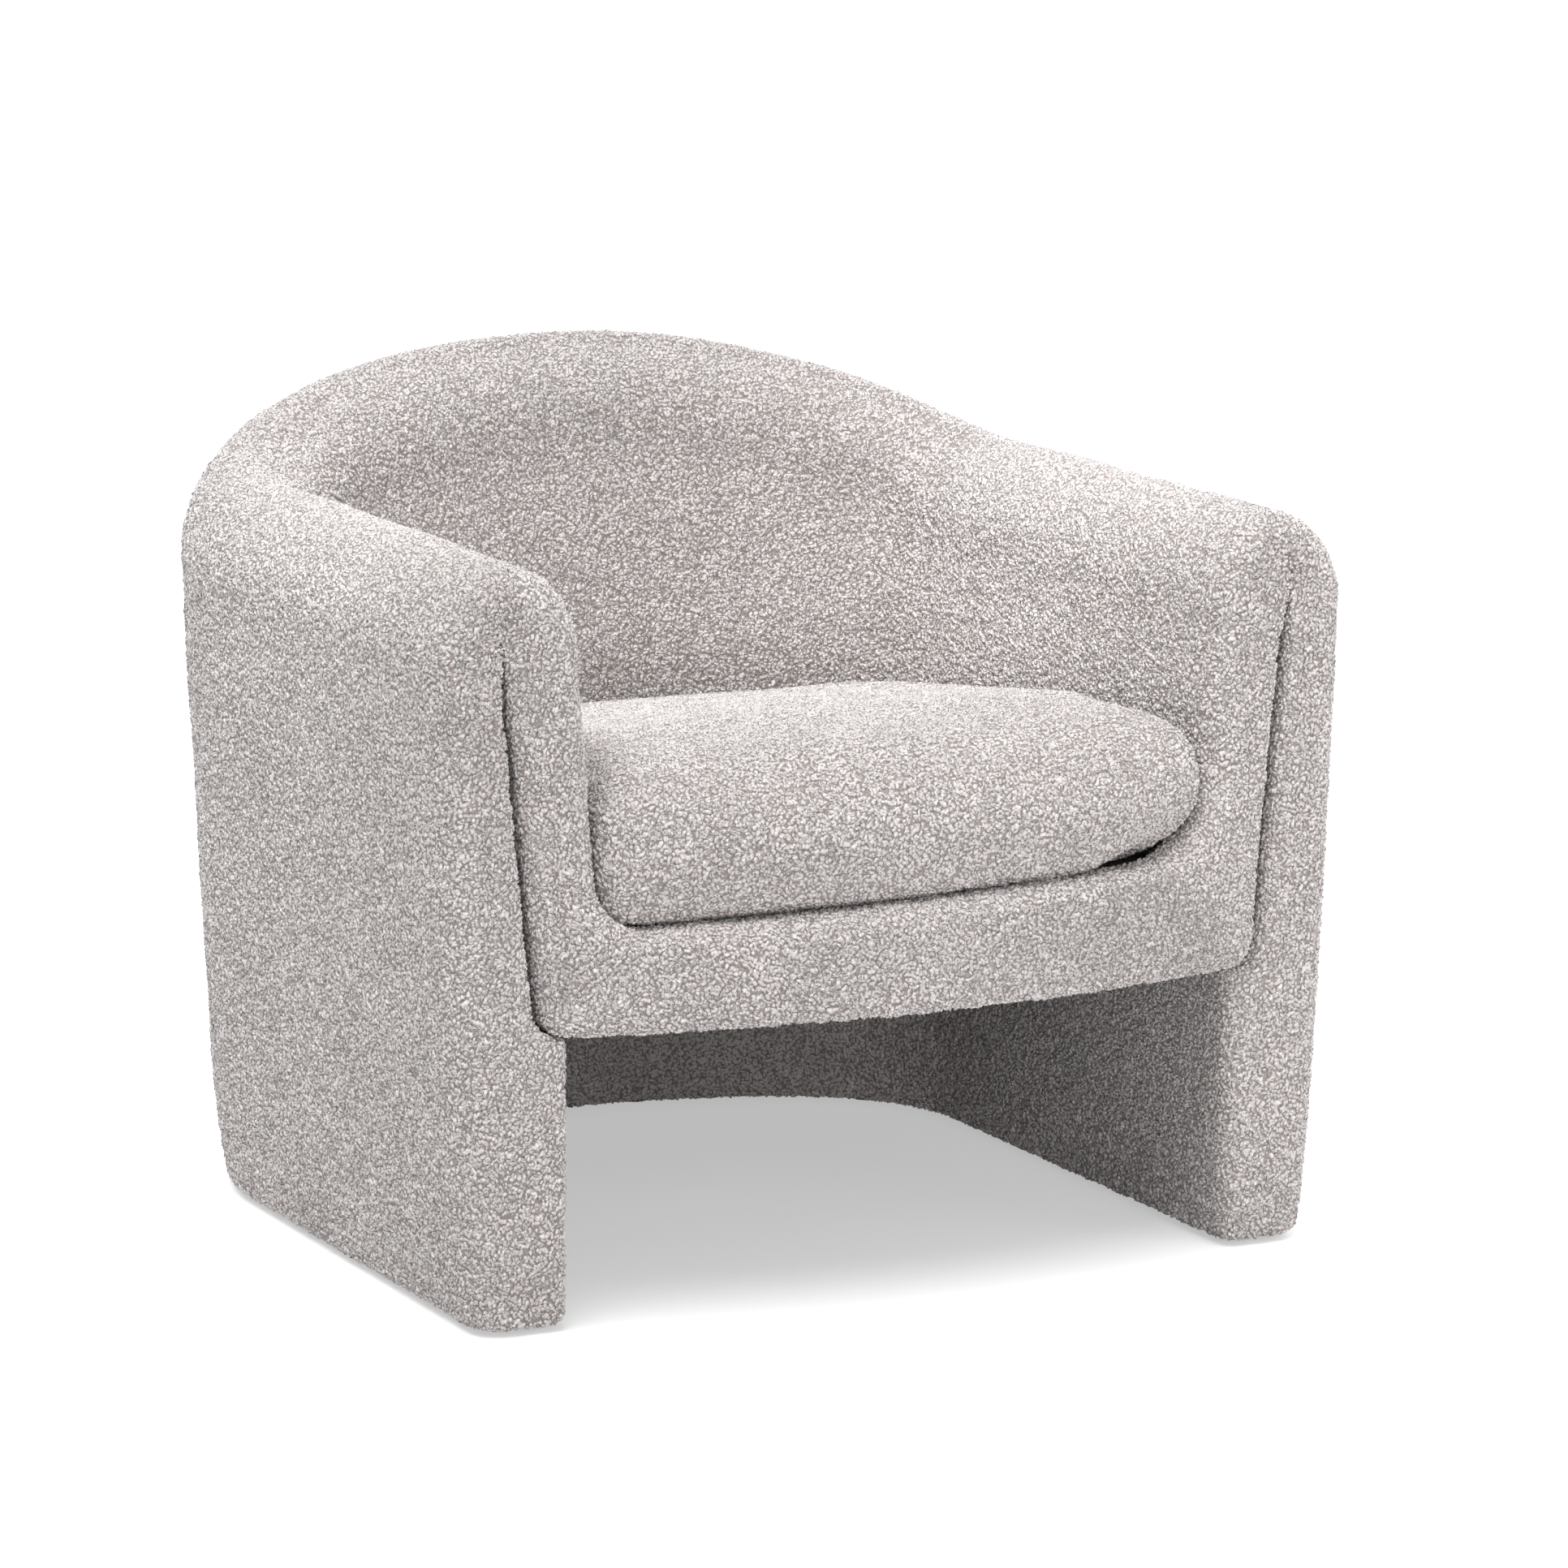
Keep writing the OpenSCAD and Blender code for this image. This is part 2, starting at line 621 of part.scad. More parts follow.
// A pair is [point a, point b, edge radius a, edge radius b]
function pad_ring(pair, bowed) = let (
        a = pair[0],
        b = pair[1],
        w = norm(b - a),
        u = (b - a) / w)
    [for (p = pad_section(w, min(pair[2], w * edge_share), min(pair[3], w * edge_share))) let (
            q = a + u * p[0])
        [q[0], (bowed ? front_y(q[0], q[1]) : face_y) + p[1], q[1]]];
edge_share = 0.48;
function seam_x(z) = seam_low_x + (seam_top_x - seam_low_x)
    * (z - apron_z - apron_corner_r) / (arm_h - fan_drop - apron_z - apron_corner_r);
face_contour = contour(wall_y, 0, glide_h, tuck_z);
function roll_point(i) = [spine_x + face_contour[i][0], face_contour[i][1]];
fan_z = arm_h - fan_drop;
roll_zo = rim_z(wall_y) - roll_ro;
roll_zi = rim_z(wall_y) - roll_ri;
n_leg = 4;
n_strip = 4;
n_bend = 4;
function outer_edge(z) = [spine_x + out_off(z), z];
function facing_pairs() = let (
        r = apron_corner_r + pad_gap,
        cx = seam_low_x - apron_corner_r,
        cz = apron_z + apron_corner_r,
        leg_top = apron_z - pad_gap)
    concat(
        [for (i = [0 : n_leg]) let (z = glide_h + (leg_top - glide_h) * i / n_leg)
            [outer_edge(z), [spine_x - leg_off(z), z], face_r, i < n_leg ? leg_edge_r : seam_r]],
        [for (i = [0 : n_bend]) let (a = 90 * i / n_bend)
            [outer_edge(leg_top + (cz - leg_top) * (i + 1) / (n_bend + 1)),
                [cx + r * sin(a), cz - r * cos(a)], face_r, seam_r]],
        [for (i = [1 : n_strip]) let (z = cz + (roll_zo - cz) * i / n_strip)
            [outer_edge(z), [seam_x(z) + pad_gap, z], face_r, seam_r]],
        [for (i = [1 : n_roll]) let (t = i / n_roll, z = roll_zo + (fan_z - roll_zo) * t)
            [roll_point(n_wall + 1 + i), [seam_x(z) + pad_gap, z], face_r,
                seam_r * (1 - t) + pad_gap * t]]);
module arm_facing() {
    color("gainsboro") loft([for (p = facing_pairs()) pad_ring(p, false)]);
}
function half_apron_pairs() = let (
        cx = seam_low_x - apron_corner_r,
        cz = apron_z + apron_corner_r,
        px = seat_w / 2 - pocket_r,
        pz = deck_h + pocket_r,
        band_x = spine_x - in_off(pz, wall_y))
    concat(
        [for (i = [0 : n_roll]) let (t = i / n_roll, z = fan_z + (roll_zi - fan_z) * t)
            [[seam_x(z), z], roll_point(n_wall + 1 + n_roll + i),
                pad_gap * (1 - t) + seam_r * t, face_r]],
        [for (i = [1 : n_strip]) let (z = roll_zi + (pz - roll_zi) * i / n_strip)
            [[seam_x(z), z], [spine_x - in_off(z, wall_y), z], seam_r, face_r]],
        [for (i = [1 : n_bend]) let (t = i / n_bend, a = 45 * t)
            [[seam_x(pz + (cz - pz) * t), pz + (cz - pz) * t],
                [px + pocket_r * cos(a), pz - pocket_r * sin(a)], seam_r, face_r + (apron_r - face_r) * t]],
        [for (i = [1 : n_bend]) let (t = i / n_bend, a = 90 * t, b = 45 + 45 * t)
            [[cx + apron_corner_r * cos(a), cz - apron_corner_r * sin(a)],
                [px + pocket_r * cos(b), pz - pocket_r * sin(b)], seam_r + (leg_edge_r - seam_r) * t, apron_r]],
        [for (i = [1 : n_back]) let (t = 1 - i / n_back)
            [[cx * t, apron_z], [px * t, deck_h], leg_edge_r, apron_r]]);
function flip_pair(p) = [[-p[0][0], p[0][1]], [-p[1][0], p[1][1]], p[2], p[3]];
module front_apron_pad() {
    half = half_apron_pairs();
    r = reverse(half);
    pairs = concat(half, [for (i = [1 : len(r) - 1]) flip_pair(r[i])]);
    color("gainsboro") loft(reverse([for (p = pairs) pad_ring(p, true)]));
}

// Fasteners under the frame
module frame_screws() {
    color("goldenrod") at_screws() screw_shape(0, screw_len);
}
module glides() {
    color("dimgray") at_glides() {
        cylinder(h = glide_lip, d1 = glide_d - 2 * glide_lip, d2 = glide_d);
        translate([0, 0, glide_lip]) cylinder(h = glide_h - glide_lip - layer_gap, d = glide_d);
        cylinder(h = glide_h + nail_len - layer_gap * 2, d = nail_d);
    }
}

// Loose cushion: rings drawn in from the outline of the seat pocket, with a
// rounded nose and a crown. Shares are of the nose radius and the thickness.
cushion_half = seat_w / 2 - cushion_gap;
cushion_setback = 4;
cushion_bow_r = bow_r - cushion_setback;
cushion_corner_cy = bow_cy - sqrt(pow(cushion_bow_r - cushion_corner_r, 2)
    - pow(cushion_half - cushion_corner_r, 2));
cushion_turn = atan2(cushion_half - cushion_corner_r, bow_cy - cushion_corner_cy);
cushion_mid_y = (face_y + seat_back_y) / 2;
cushion_back_gap = 3;
crest_y = face_y + 135;
n_front = 5;
profile_shares = [
    [3.3, 0], [1.4, 0], [0.7, 0], [0.36, 0.07], [0.12, 0.22], [0, 0.46], [0.05, 0.66],
    [0.2, 0.82], [0.48, 0.93], [0.95, 0.99], [1.7, 1.01], [3.1, 1.03]];
half_outline = concat(
    [for (i = [0 : n_front - 1]) let (a = cushion_turn * i / n_front)
        [cushion_bow_r * sin(a), bow_cy - cushion_bow_r * cos(a)]],
    [for (i = [0 : 3]) let (a = cushion_turn + (90 - cushion_turn) * i / 3)
        [cushion_half - cushion_corner_r + cushion_corner_r * sin(a),
            cushion_corner_cy - cushion_corner_r * cos(a)]],
    [for (i = [1 : 2]) [cushion_half, cushion_corner_cy + (corner_y - cushion_corner_cy) * i / 3]],
    [for (s = arc_path()) let (
            back = ease((s[1] - corner_y) / (spine_back_y - corner_y)),
            o = -seat_off(s[1]) - cushion_gap - cushion_back_gap * back)
        [s[0] + s[2] * o, s[1] + s[3] * o]]);
cushion_outline = let (r = reverse(half_outline))
    concat(half_outline, [for (i = [1 : len(r) - 2]) [-r[i][0], r[i][1]]]);
function cushion_low(y) = deck_z(y) + layer_gap;
function cushion_top(y) = let (fall = (cushion_h - cushion_back_h) / (seat_back_y - crest_y))
    cushion_h - fall * max(0, y - crest_y);
function cushion_ring(share, shrink) = [for (p = cushion_outline) let (
        c = [0, cushion_mid_y],
        inset = share[0] * nose_r + shrink,
        q = p + (c - p) * inset / norm(c - p),
        low = cushion_low(q[1]) + shrink,
        high = cushion_top(q[1]) - shrink)
    [q[0], q[1], low + (high - low) * share[1]]];
module cushion_body(shrink) {
    loft(reverse([for (share = profile_shares) cushion_ring(share, shrink)]));
}
module seat_cushion() {
    color("whitesmoke") difference() {
        cushion_body(0);
        cushion_body(cover_t);
    }
}
module cushion_core() {
    color("khaki") cushion_body(cover_t + layer_gap);
}

base_ring();
seat_ring();
mirror([1, 0, 0]) stud(post_place);  // left_front_post
stud(post_place);  // right_front_post
mirror([1, 0, 0]) stud(arm_place);  // left_arm_stud
stud(arm_place);  // right_arm_stud
mirror([1, 0, 0]) stud(corner_place(corner_turn));  // left_corner_stud
stud(corner_place(corner_turn));  // right_corner_stud
mirror([1, 0, 0]) stud(back_place(back_stud_turn));  // left_back_stud
stud(back_place(back_stud_turn));  // right_back_stud
mirror([1, 0, 0]) arm_former();  // left_arm_former
arm_former();  // right_arm_former
back_former();
mirror([1, 0, 0]) seat_rail();  // left_seat_rail
seat_rail();  // right_seat_rail
front_seat_rail();
back_seat_rail();
mirror([1, 0, 0]) glue_block();  // left_glue_block
glue_block();  // right_glue_block
mirror([1, 0, 0]) facing_board();  // left_facing_board
facing_board();  // right_facing_board
outer_board();
lining_board();
tub_webbing();
spring_clips();
seat_springs();
spring_felt();
outer_foam();
tub_foam();
deck_foam();
deck_cloth();
tub_cover();
leg_lining();
mirror([1, 0, 0]) arm_facing();  // left_arm_facing
arm_facing();  // right_arm_facing
front_apron_pad();
dust_cover();
frame_screws();
glides();
seat_cushion();
cushion_core();
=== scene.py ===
# Tub chair in looped cream fabric: covers, cushion, materials, light and camera
import json
import math

import bpy
import numpy as np
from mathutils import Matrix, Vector


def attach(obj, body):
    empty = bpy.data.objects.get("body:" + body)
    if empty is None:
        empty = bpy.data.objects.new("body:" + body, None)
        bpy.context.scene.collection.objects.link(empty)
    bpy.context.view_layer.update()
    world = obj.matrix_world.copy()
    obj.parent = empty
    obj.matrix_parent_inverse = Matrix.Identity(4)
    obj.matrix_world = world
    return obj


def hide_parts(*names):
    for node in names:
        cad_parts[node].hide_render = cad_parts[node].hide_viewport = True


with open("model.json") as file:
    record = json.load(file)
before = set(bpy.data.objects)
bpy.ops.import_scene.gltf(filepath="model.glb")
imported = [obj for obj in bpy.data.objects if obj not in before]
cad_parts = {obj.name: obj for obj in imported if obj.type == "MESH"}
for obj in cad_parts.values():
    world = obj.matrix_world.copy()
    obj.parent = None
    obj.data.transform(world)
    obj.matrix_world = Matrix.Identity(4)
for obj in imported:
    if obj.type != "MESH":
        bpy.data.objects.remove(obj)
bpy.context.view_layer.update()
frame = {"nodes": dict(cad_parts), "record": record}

MM = 0.001
RNG = np.random.default_rng(7)

# Sizes of the chair in millimetres, as in the part's source
OVERALL_W, OVERALL_D, ARM_H, BACK_H = 800, 823, 601, 689
WALL_T, OUT_LEAN, IN_LEAN, LEG_LEAN = 73, 34.5, 17.5, 1.5
ROLL_RO, ROLL_RI = 73.5, 70.5
CORNER_R, CORNER_TURN = 184, math.radians(62)
ARM_CLIMB, RISE_LEN, GLIDE_H = 6, 213, 5
SEAT_W, LUMBAR = 535, 50
DECK_H, DECK_FALL = 321, 13
CUSHION_H, CUSHION_BACK_H, CUSHION_GAP = 441, 383, 1.5
NOSE_R, CUSHION_CORNER_R = 60, 28
BOW, FACING_T, APRON_Z = 51, 30, 234.5
FACE_R, APRON_R, LEG_EDGE_R = 25, 16, 12
SEAM_LOW_X, SEAM_TOP_X = 318, 347
APRON_CORNER_R, POCKET_R = 24, 38
RING_Z, TUCK_Z, LAYER_GAP = 240, 281.3, 0.3
LEAN_POWER, RISE_REACH, PADDING_Z, BOW_FADE_Z, FAN_DROP = 0.53, 0.573, 400, 420, 45

LEAN_H = ARM_H - ROLL_RO
SPINE_X = OVERALL_W / 2 - WALL_T / 2 - OUT_LEAN


def out_off(z):
    return WALL_T / 2 + OUT_LEAN * (np.maximum(z, 0) / LEAN_H) ** LEAN_POWER


def top_off(z):
    return WALL_T / 2 + IN_LEAN * z / LEAN_H


def leg_off(z):
    return WALL_T / 2 + LEG_LEAN * z / RING_Z


def ease(t):
    t = np.clip(t, 0, 1)
    return t * t * (3 - 2 * t)


SPINE_BACK_Y = OVERALL_D / 2 - float(out_off(BACK_H - ROLL_RO))
CORNER_X = SPINE_X - CORNER_R
ARC_STEP = CORNER_X / math.cos(CORNER_TURN)
BACK_R = CORNER_R + ARC_STEP
BACK_CY = SPINE_BACK_Y - BACK_R
CORNER_Y = BACK_CY + ARC_STEP * math.sin(CORNER_TURN)
FACE_Y = BOW - OVERALL_D / 2
WALL_Y = FACE_Y + FACING_T + LAYER_GAP
ARM_IN = SPINE_X - SEAT_W / 2
SEAT_BACK_Y = SPINE_BACK_Y - ARM_IN - LUMBAR
RIM_RISE = (BACK_H - ARM_H - ARM_CLIMB) / float(ease(RISE_REACH))
BOW_R = (SEAM_LOW_X**2 + BOW**2) / (2 * BOW)
BOW_CY = BOW_R - OVERALL_D / 2
FAN_Z = ARM_H - FAN_DROP

# How much longer the outside of the wall is than its middle line
CORNER_FAN, BACK_FAN = 1.35, 1.1


def rim_z(y):
    rise = (y - SPINE_BACK_Y + RISE_LEN) * RISE_REACH / RISE_LEN
    climb = ARM_CLIMB * (y - FACE_Y) / (SPINE_BACK_Y - FACE_Y)
    return ARM_H + climb + RIM_RISE * ease(rise)


def seat_off(y):
    return ARM_IN + LUMBAR * ease((y - CORNER_Y) / (SPINE_BACK_Y - CORNER_Y))


def in_off(z, y):
    spring = rim_z(y) - ROLL_RI
    top = top_off(spring)
    return top + (seat_off(y) - top) * ease((spring - z) / (spring - PADDING_Z))


def bow_y(x):
    return BOW_CY - np.sqrt(BOW_R**2 - np.asarray(x) ** 2)


def front_y(x, z):
    forward = np.minimum(0, bow_y(x) - FACE_Y)
    return FACE_Y + forward * ease((BOW_FADE_Z - z) / (BOW_FADE_Z - DECK_H))


def deck_z(y):
    return DECK_H - DECK_FALL * (y - FACE_Y) / (SEAT_BACK_Y - FACE_Y)


def seam_x(z):
    low = APRON_Z + APRON_CORNER_R
    return SEAM_LOW_X + (SEAM_TOP_X - SEAM_LOW_X) * (z - low) / (FAN_Z - low)


def path(y0, pitch):
    """Stations along the middle line of the wall: x, y and the outward normal."""
    ys = np.linspace(y0, CORNER_Y, max(2, round((CORNER_Y - y0) / pitch)) + 1)[:-1]
    side = np.stack([np.full_like(ys, SPINE_X), ys, np.ones_like(ys), np.zeros_like(ys)], 1)
    a = np.linspace(0, CORNER_TURN, round(CORNER_R * CORNER_FAN * CORNER_TURN / pitch) + 1)[:-1]
    corner = np.stack([CORNER_X + CORNER_R * np.cos(a), CORNER_Y + CORNER_R * np.sin(a),
                       np.cos(a), np.sin(a)], 1)
    turn = math.pi / 2 - CORNER_TURN
    a = CORNER_TURN + np.linspace(0, turn, round(BACK_R * BACK_FAN * turn / pitch) + 1)
    back = np.stack([BACK_R * np.cos(a), BACK_CY + BACK_R * np.sin(a), np.cos(a), np.sin(a)], 1)
    half = np.concatenate([side, corner, back])
    other = half[-2::-1] * [-1, 1, -1, 1]
    return np.concatenate([half, other])


# Mesh building
def as_object(name, verts, faces, material):
    mesh = bpy.data.meshes.new(name)
    mesh.from_pydata((np.asarray(verts) * MM).tolist(), [], faces)
    mesh.validate()
    mesh.polygons.foreach_set("use_smooth", [True] * len(mesh.polygons))
    piece = bpy.data.objects.new(name, mesh)
    bpy.context.scene.collection.objects.link(piece)
    mesh.materials.append(material)
    return piece


def grid_faces(rows, cols, wrap, flip):
    i = np.arange(rows - 1)[:, None]
    j = np.arange(cols if wrap else cols - 1)[None, :]
    k = (j + 1) % cols
    quads = np.stack([i * cols + j, i * cols + k, (i + 1) * cols + k, (i + 1) * cols + j], -1)
    quads = quads.reshape(-1, 4)
    return (quads[:, ::-1] if flip else quads).tolist()


def grid_piece(name, points, outward, material):
    """A sheet of quads through a grid of points, with its normals towards outward."""
    rows, cols = points.shape[:2]
    du = points[1:, :-1] - points[:-1, :-1]
    dv = points[:-1, 1:] - points[:-1, :-1]
    facing = np.sum(np.cross(dv, du) * np.broadcast_to(outward, points.shape)[:-1, :-1])
    faces = grid_faces(rows, cols, False, facing < 0)
    return as_object(name, points.reshape(-1, 3), faces, material)


def on_body(piece, body, slot, *nodes):
    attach(piece, body)
    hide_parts(*nodes)
    return piece


def add_subdivision(piece, levels):
    """Finer facets in the render, so that the loops of the cloth stand up."""
    mod = piece.modifiers.new("fine", "SUBSURF")
    mod.levels = 0
    mod.render_levels = levels
    mod.boundary_smooth = "PRESERVE_CORNERS"


# Materials
def node(tree, kind, **inputs):
    made = tree.nodes.new(kind)
    for key, value in inputs.items():
        made.inputs[key.replace("_", " ")].default_value = value
    return made


def math_node(tree, op, a, b=None, c=None):
    made = tree.nodes.new("ShaderNodeMath")
    made.operation = op
    for i, v in enumerate((a, b, c)):
        if v is None:
            continue
        if isinstance(v, (int, float)):
            made.inputs[i].default_value = v
        else:
            tree.links.new(v, made.inputs[i])
    return made.outputs[0]


def ramp(tree, fac, stops):
    made = tree.nodes.new("ShaderNodeValToRGB")
    tree.links.new(fac, made.inputs[0])
    ends = made.color_ramp.elements
    while len(ends) < len(stops):
        ends.new(0.5)
    for e, (at, colour) in zip(ends, stops):
        e.position = at
        e.color = (*colour, 1)
    return made.outputs[0]


def new_material(name):
    made = bpy.data.materials.new(name)
    made.use_nodes = True
    return made, made.node_tree, made.node_tree.nodes["Principled BSDF"]


def noise(tree, coords, scale, detail=2.0, rough=0.5):
    made = node(tree, "ShaderNodeTexNoise", Scale=scale, Detail=detail, Roughness=rough)
    tree.links.new(coords, made.inputs["Vector"])
    return made


def bump(tree, height, strength, distance, shader):
    made = node(tree, "ShaderNodeBump", Strength=strength, Distance=distance)
    tree.links.new(height, made.inputs["Height"])
    tree.links.new(made.outputs[0], shader.inputs["Normal"])


# Colours of the looped cloth, from the gaps between the nubs to their tops: the dark gaps are
# painted shade
PAINTED_GAP_SHADE_TO_TOP = [(0.09, (0.30, 0.26, 0.245)), (0.27, (0.66, 0.60, 0.59)),
              (0.455, (0.85, 0.795, 0.785)), (0.76, (0.93, 0.905, 0.895))]
WARP_SCALE, FIBRE_SCALE, PATCH_SCALE, BROAD_SCALE = 95, 1500, 26, 5
WARP_M, FINE_RATIO, BUMP_SHARE = 0.006, 2.3, 0.6
NUB_SHARE, TUFT_SHARE, FIBRE_SHARE = 0.68, 0.22, 0.10


def boucle(name, nub_scale, height_m):
    """Looped cloth: rounded nubs of yarn with painted shade in the gaps between them, tufts of
    finer loops and fibre.
    """
    made, tree, shader = new_material(name)
    coords = tree.nodes.new("ShaderNodeTexCoord").outputs["Object"]
    warp = noise(tree, coords, WARP_SCALE, 1.0)
    shift = tree.nodes.new("ShaderNodeVectorMath")
    shift.operation = "MULTIPLY_ADD"
    tree.links.new(warp.outputs["Color"], shift.inputs[0])
    shift.inputs[1].default_value = (WARP_M, WARP_M, WARP_M)
    tree.links.new(coords, shift.inputs[2])
    place = shift.outputs[0]
    cells = node(tree, "ShaderNodeTexVoronoi", Scale=nub_scale, Randomness=1.0)
    tree.links.new(place, cells.inputs["Vector"])
    fine = node(tree, "ShaderNodeTexVoronoi", Scale=nub_scale * FINE_RATIO, Randomness=1.0)
    tree.links.new(place, fine.inputs["Vector"])
    fibre = noise(tree, coords, FIBRE_SCALE, 2.0, 0.6)
    patches = noise(tree, coords, PATCH_SCALE, 2.0)
    broad = noise(tree, coords, BROAD_SCALE, 2.0)
    dome = math_node(tree, "MULTIPLY", cells.outputs["Distance"], cells.outputs["Distance"])
    dome = math_node(tree, "MULTIPLY_ADD", dome, -2.6, 1.0)
    dome = math_node(tree, "MAXIMUM", dome, 0.0)
    tuft = math_node(tree, "MULTIPLY_ADD", fine.outputs["Distance"], -1.3, 1.0)
    both = math_node(tree, "MULTIPLY", dome, NUB_SHARE)
    both = math_node(tree, "MULTIPLY_ADD", tuft, TUFT_SHARE, both)
    both = math_node(tree, "MULTIPLY_ADD", fibre.outputs["Fac"], FIBRE_SHARE, both)
    amount = math_node(tree, "MULTIPLY_ADD", patches.outputs["Fac"], 0.5, 0.75)
    both = math_node(tree, "MULTIPLY", both, amount)
    # Base colour from the height of the loops: painted shade darkens the gaps between the nubs
    colour = ramp(tree, both, PAINTED_GAP_SHADE_TO_TOP)
    shade = ramp(tree, broad.outputs["Fac"], [(0.3, (0.95, 0.945, 0.94)), (0.7, (1, 1, 1))])
    mix = tree.nodes.new("ShaderNodeMix")
    mix.data_type = "RGBA"
    mix.blend_type = "MULTIPLY"
    mix.inputs["Factor"].default_value = 1.0
    tree.links.new(colour, mix.inputs["A"])
    tree.links.new(shade, mix.inputs["B"])
    tree.links.new(mix.outputs["Result"], shader.inputs["Base Color"])
    dull = ramp(tree, both, [(0.2, (0.98,) * 3), (0.9, (0.86,) * 3)])
    tree.links.new(dull, shader.inputs["Roughness"])
    shader.inputs["Specular IOR Level"].default_value = 0.2
    shader.inputs["Sheen Weight"].default_value = 0.25
    shader.inputs["Sheen Roughness"].default_value = 0.5
    bump(tree, both, 1.0, height_m * BUMP_SHARE, shader)
    lift = node(tree, "ShaderNodeDisplacement", Midlevel=0.4, Scale=height_m)
    tree.links.new(both, lift.inputs["Height"])
    tree.links.new(lift.outputs[0], tree.nodes["Material Output"].inputs["Displacement"])
    made.displacement_method = "DISPLACEMENT"
    return made


def grained(name, dark, light, rough, stretch, scale, coat=0.0):
    """Wood or board: streaks along one axis, with pores."""
    made, tree, shader = new_material(name)
    coords = tree.nodes.new("ShaderNodeTexCoord").outputs["Object"]
    squeeze = tree.nodes.new("ShaderNodeMapping")
    squeeze.inputs["Scale"].default_value = stretch
    tree.links.new(coords, squeeze.inputs["Vector"])
    streak = noise(tree, squeeze.outputs[0], scale, 6.0, 0.6)
    pores = noise(tree, squeeze.outputs[0], scale * 9, 3.0)
    both = math_node(tree, "MULTIPLY_ADD", pores.outputs["Fac"], 0.35, streak.outputs["Fac"])
    colour = ramp(tree, both, [(0.42, dark), (0.62, light), (0.85, tuple(0.9 * c for c in light))])
    tree.links.new(colour, shader.inputs["Base Color"])
    shader.inputs["Roughness"].default_value = rough
    shader.inputs["Coat Weight"].default_value = coat
    bump(tree, both, 0.3, 0.0006, shader)
    return made


def woven(name, dark, light, threads, depth):
    """Plain weave in all three directions, from crossed waves."""
    made, tree, shader = new_material(name)
    coords = tree.nodes.new("ShaderNodeTexCoord").outputs["Object"]
    heights = []
    for axis in ("X", "Y", "Z"):
        wave = node(tree, "ShaderNodeTexWave", Scale=threads, Distortion=0.6, Detail=1.0)
        wave.bands_direction = axis
        tree.links.new(coords, wave.inputs["Vector"])
        heights.append(wave.outputs["Fac"])
    both = math_node(tree, "MULTIPLY", heights[0], heights[1])
    both = math_node(tree, "MULTIPLY_ADD", heights[2], 0.4, both)
    fuzz = noise(tree, coords, 900, 2.0)
    both = math_node(tree, "MULTIPLY_ADD", fuzz.outputs["Fac"], 0.3, both)
    tree.links.new(ramp(tree, both, [(0.1, dark), (0.9, light)]), shader.inputs["Base Color"])
    shader.inputs["Roughness"].default_value = 0.92
    shader.inputs["Specular IOR Level"].default_value = 0.25
    bump(tree, both, 0.5, depth, shader)
    return made


def foam(name, dark, light):
    made, tree, shader = new_material(name)
    coords = tree.nodes.new("ShaderNodeTexCoord").outputs["Object"]
    cells = node(tree, "ShaderNodeTexVoronoi", Scale=900.0)
    tree.links.new(coords, cells.inputs["Vector"])
    colour = ramp(tree, cells.outputs["Distance"], [(0.0, dark), (0.5, light)])
    tree.links.new(colour, shader.inputs["Base Color"])
    shader.inputs["Roughness"].default_value = 0.95
    bump(tree, cells.outputs["Distance"], 0.4, 0.0008, shader)
    return made


def metal(name, colour, rough, streaks):
    made, tree, shader = new_material(name)
    coords = tree.nodes.new("ShaderNodeTexCoord").outputs["Object"]
    wear = noise(tree, coords, streaks, 4.0, 0.65)
    dark = tuple(0.6 * c for c in colour)
    worn = ramp(tree, wear.outputs["Fac"], [(0.35, dark), (0.6, colour)])
    tree.links.new(worn, shader.inputs["Base Color"])
    dull = ramp(tree, wear.outputs["Fac"], [(0.3, (rough + 0.2,) * 3), (0.7, (rough,) * 3)])
    tree.links.new(dull, shader.inputs["Roughness"])
    shader.inputs["Metallic"].default_value = 1.0
    return made


def moulded(name, dark, light):
    made, tree, shader = new_material(name)
    coords = tree.nodes.new("ShaderNodeTexCoord").outputs["Object"]
    grain = noise(tree, coords, 700, 3.0)
    colour = ramp(tree, grain.outputs["Fac"], [(0.3, dark), (0.7, light)])
    tree.links.new(colour, shader.inputs["Base Color"])
    shader.inputs["Roughness"].default_value = 0.55
    bump(tree, grain.outputs["Fac"], 0.2, 0.0003, shader)
    return made


COVER = boucle("boucle_cream", 338.0, 0.0044)
SLOTS = {
    "boucle": COVER,
    "foam": foam("foam_cream", (0.55, 0.47, 0.28), (0.80, 0.72, 0.50)),
    "felt": woven("felt_grey", (0.10, 0.10, 0.10), (0.26, 0.25, 0.25), 190.0, 0.0006),
    "deck_cloth": woven("deck_cloth_grey", (0.22, 0.21, 0.20), (0.46, 0.44, 0.42), 125.0, 0.0007),
    "black_cloth": woven("dust_cloth_black", (0.008, 0.008, 0.008), (0.035, 0.034, 0.033),
                         140.0, 0.0005),
    "webbing": woven("webbing_black", (0.01, 0.01, 0.01), (0.06, 0.055, 0.05), 110.0, 0.0008),
    "plywood": grained("plywood_birch", (0.38, 0.24, 0.12), (0.62, 0.46, 0.28), 0.65,
                       (1.0, 1.0, 14.0), 9.0),
    "hardboard": grained("hardboard_brown", (0.10, 0.055, 0.03), (0.20, 0.12, 0.07), 0.5,
                         (1.0, 1.0, 1.0), 160.0, 0.1),
    "spring_steel": metal("spring_steel_dark", (0.22, 0.22, 0.23), 0.35, 120.0),
    "zinc_steel": metal("zinc_yellow", (0.62, 0.56, 0.40), 0.3, 90.0),
    "glide_nylon": moulded("glide_nylon_dark", (0.02, 0.02, 0.02), (0.05, 0.05, 0.05)),
}
slot_of = {s["node"]: s["material_slot"] for s in frame["record"]["subparts"]}
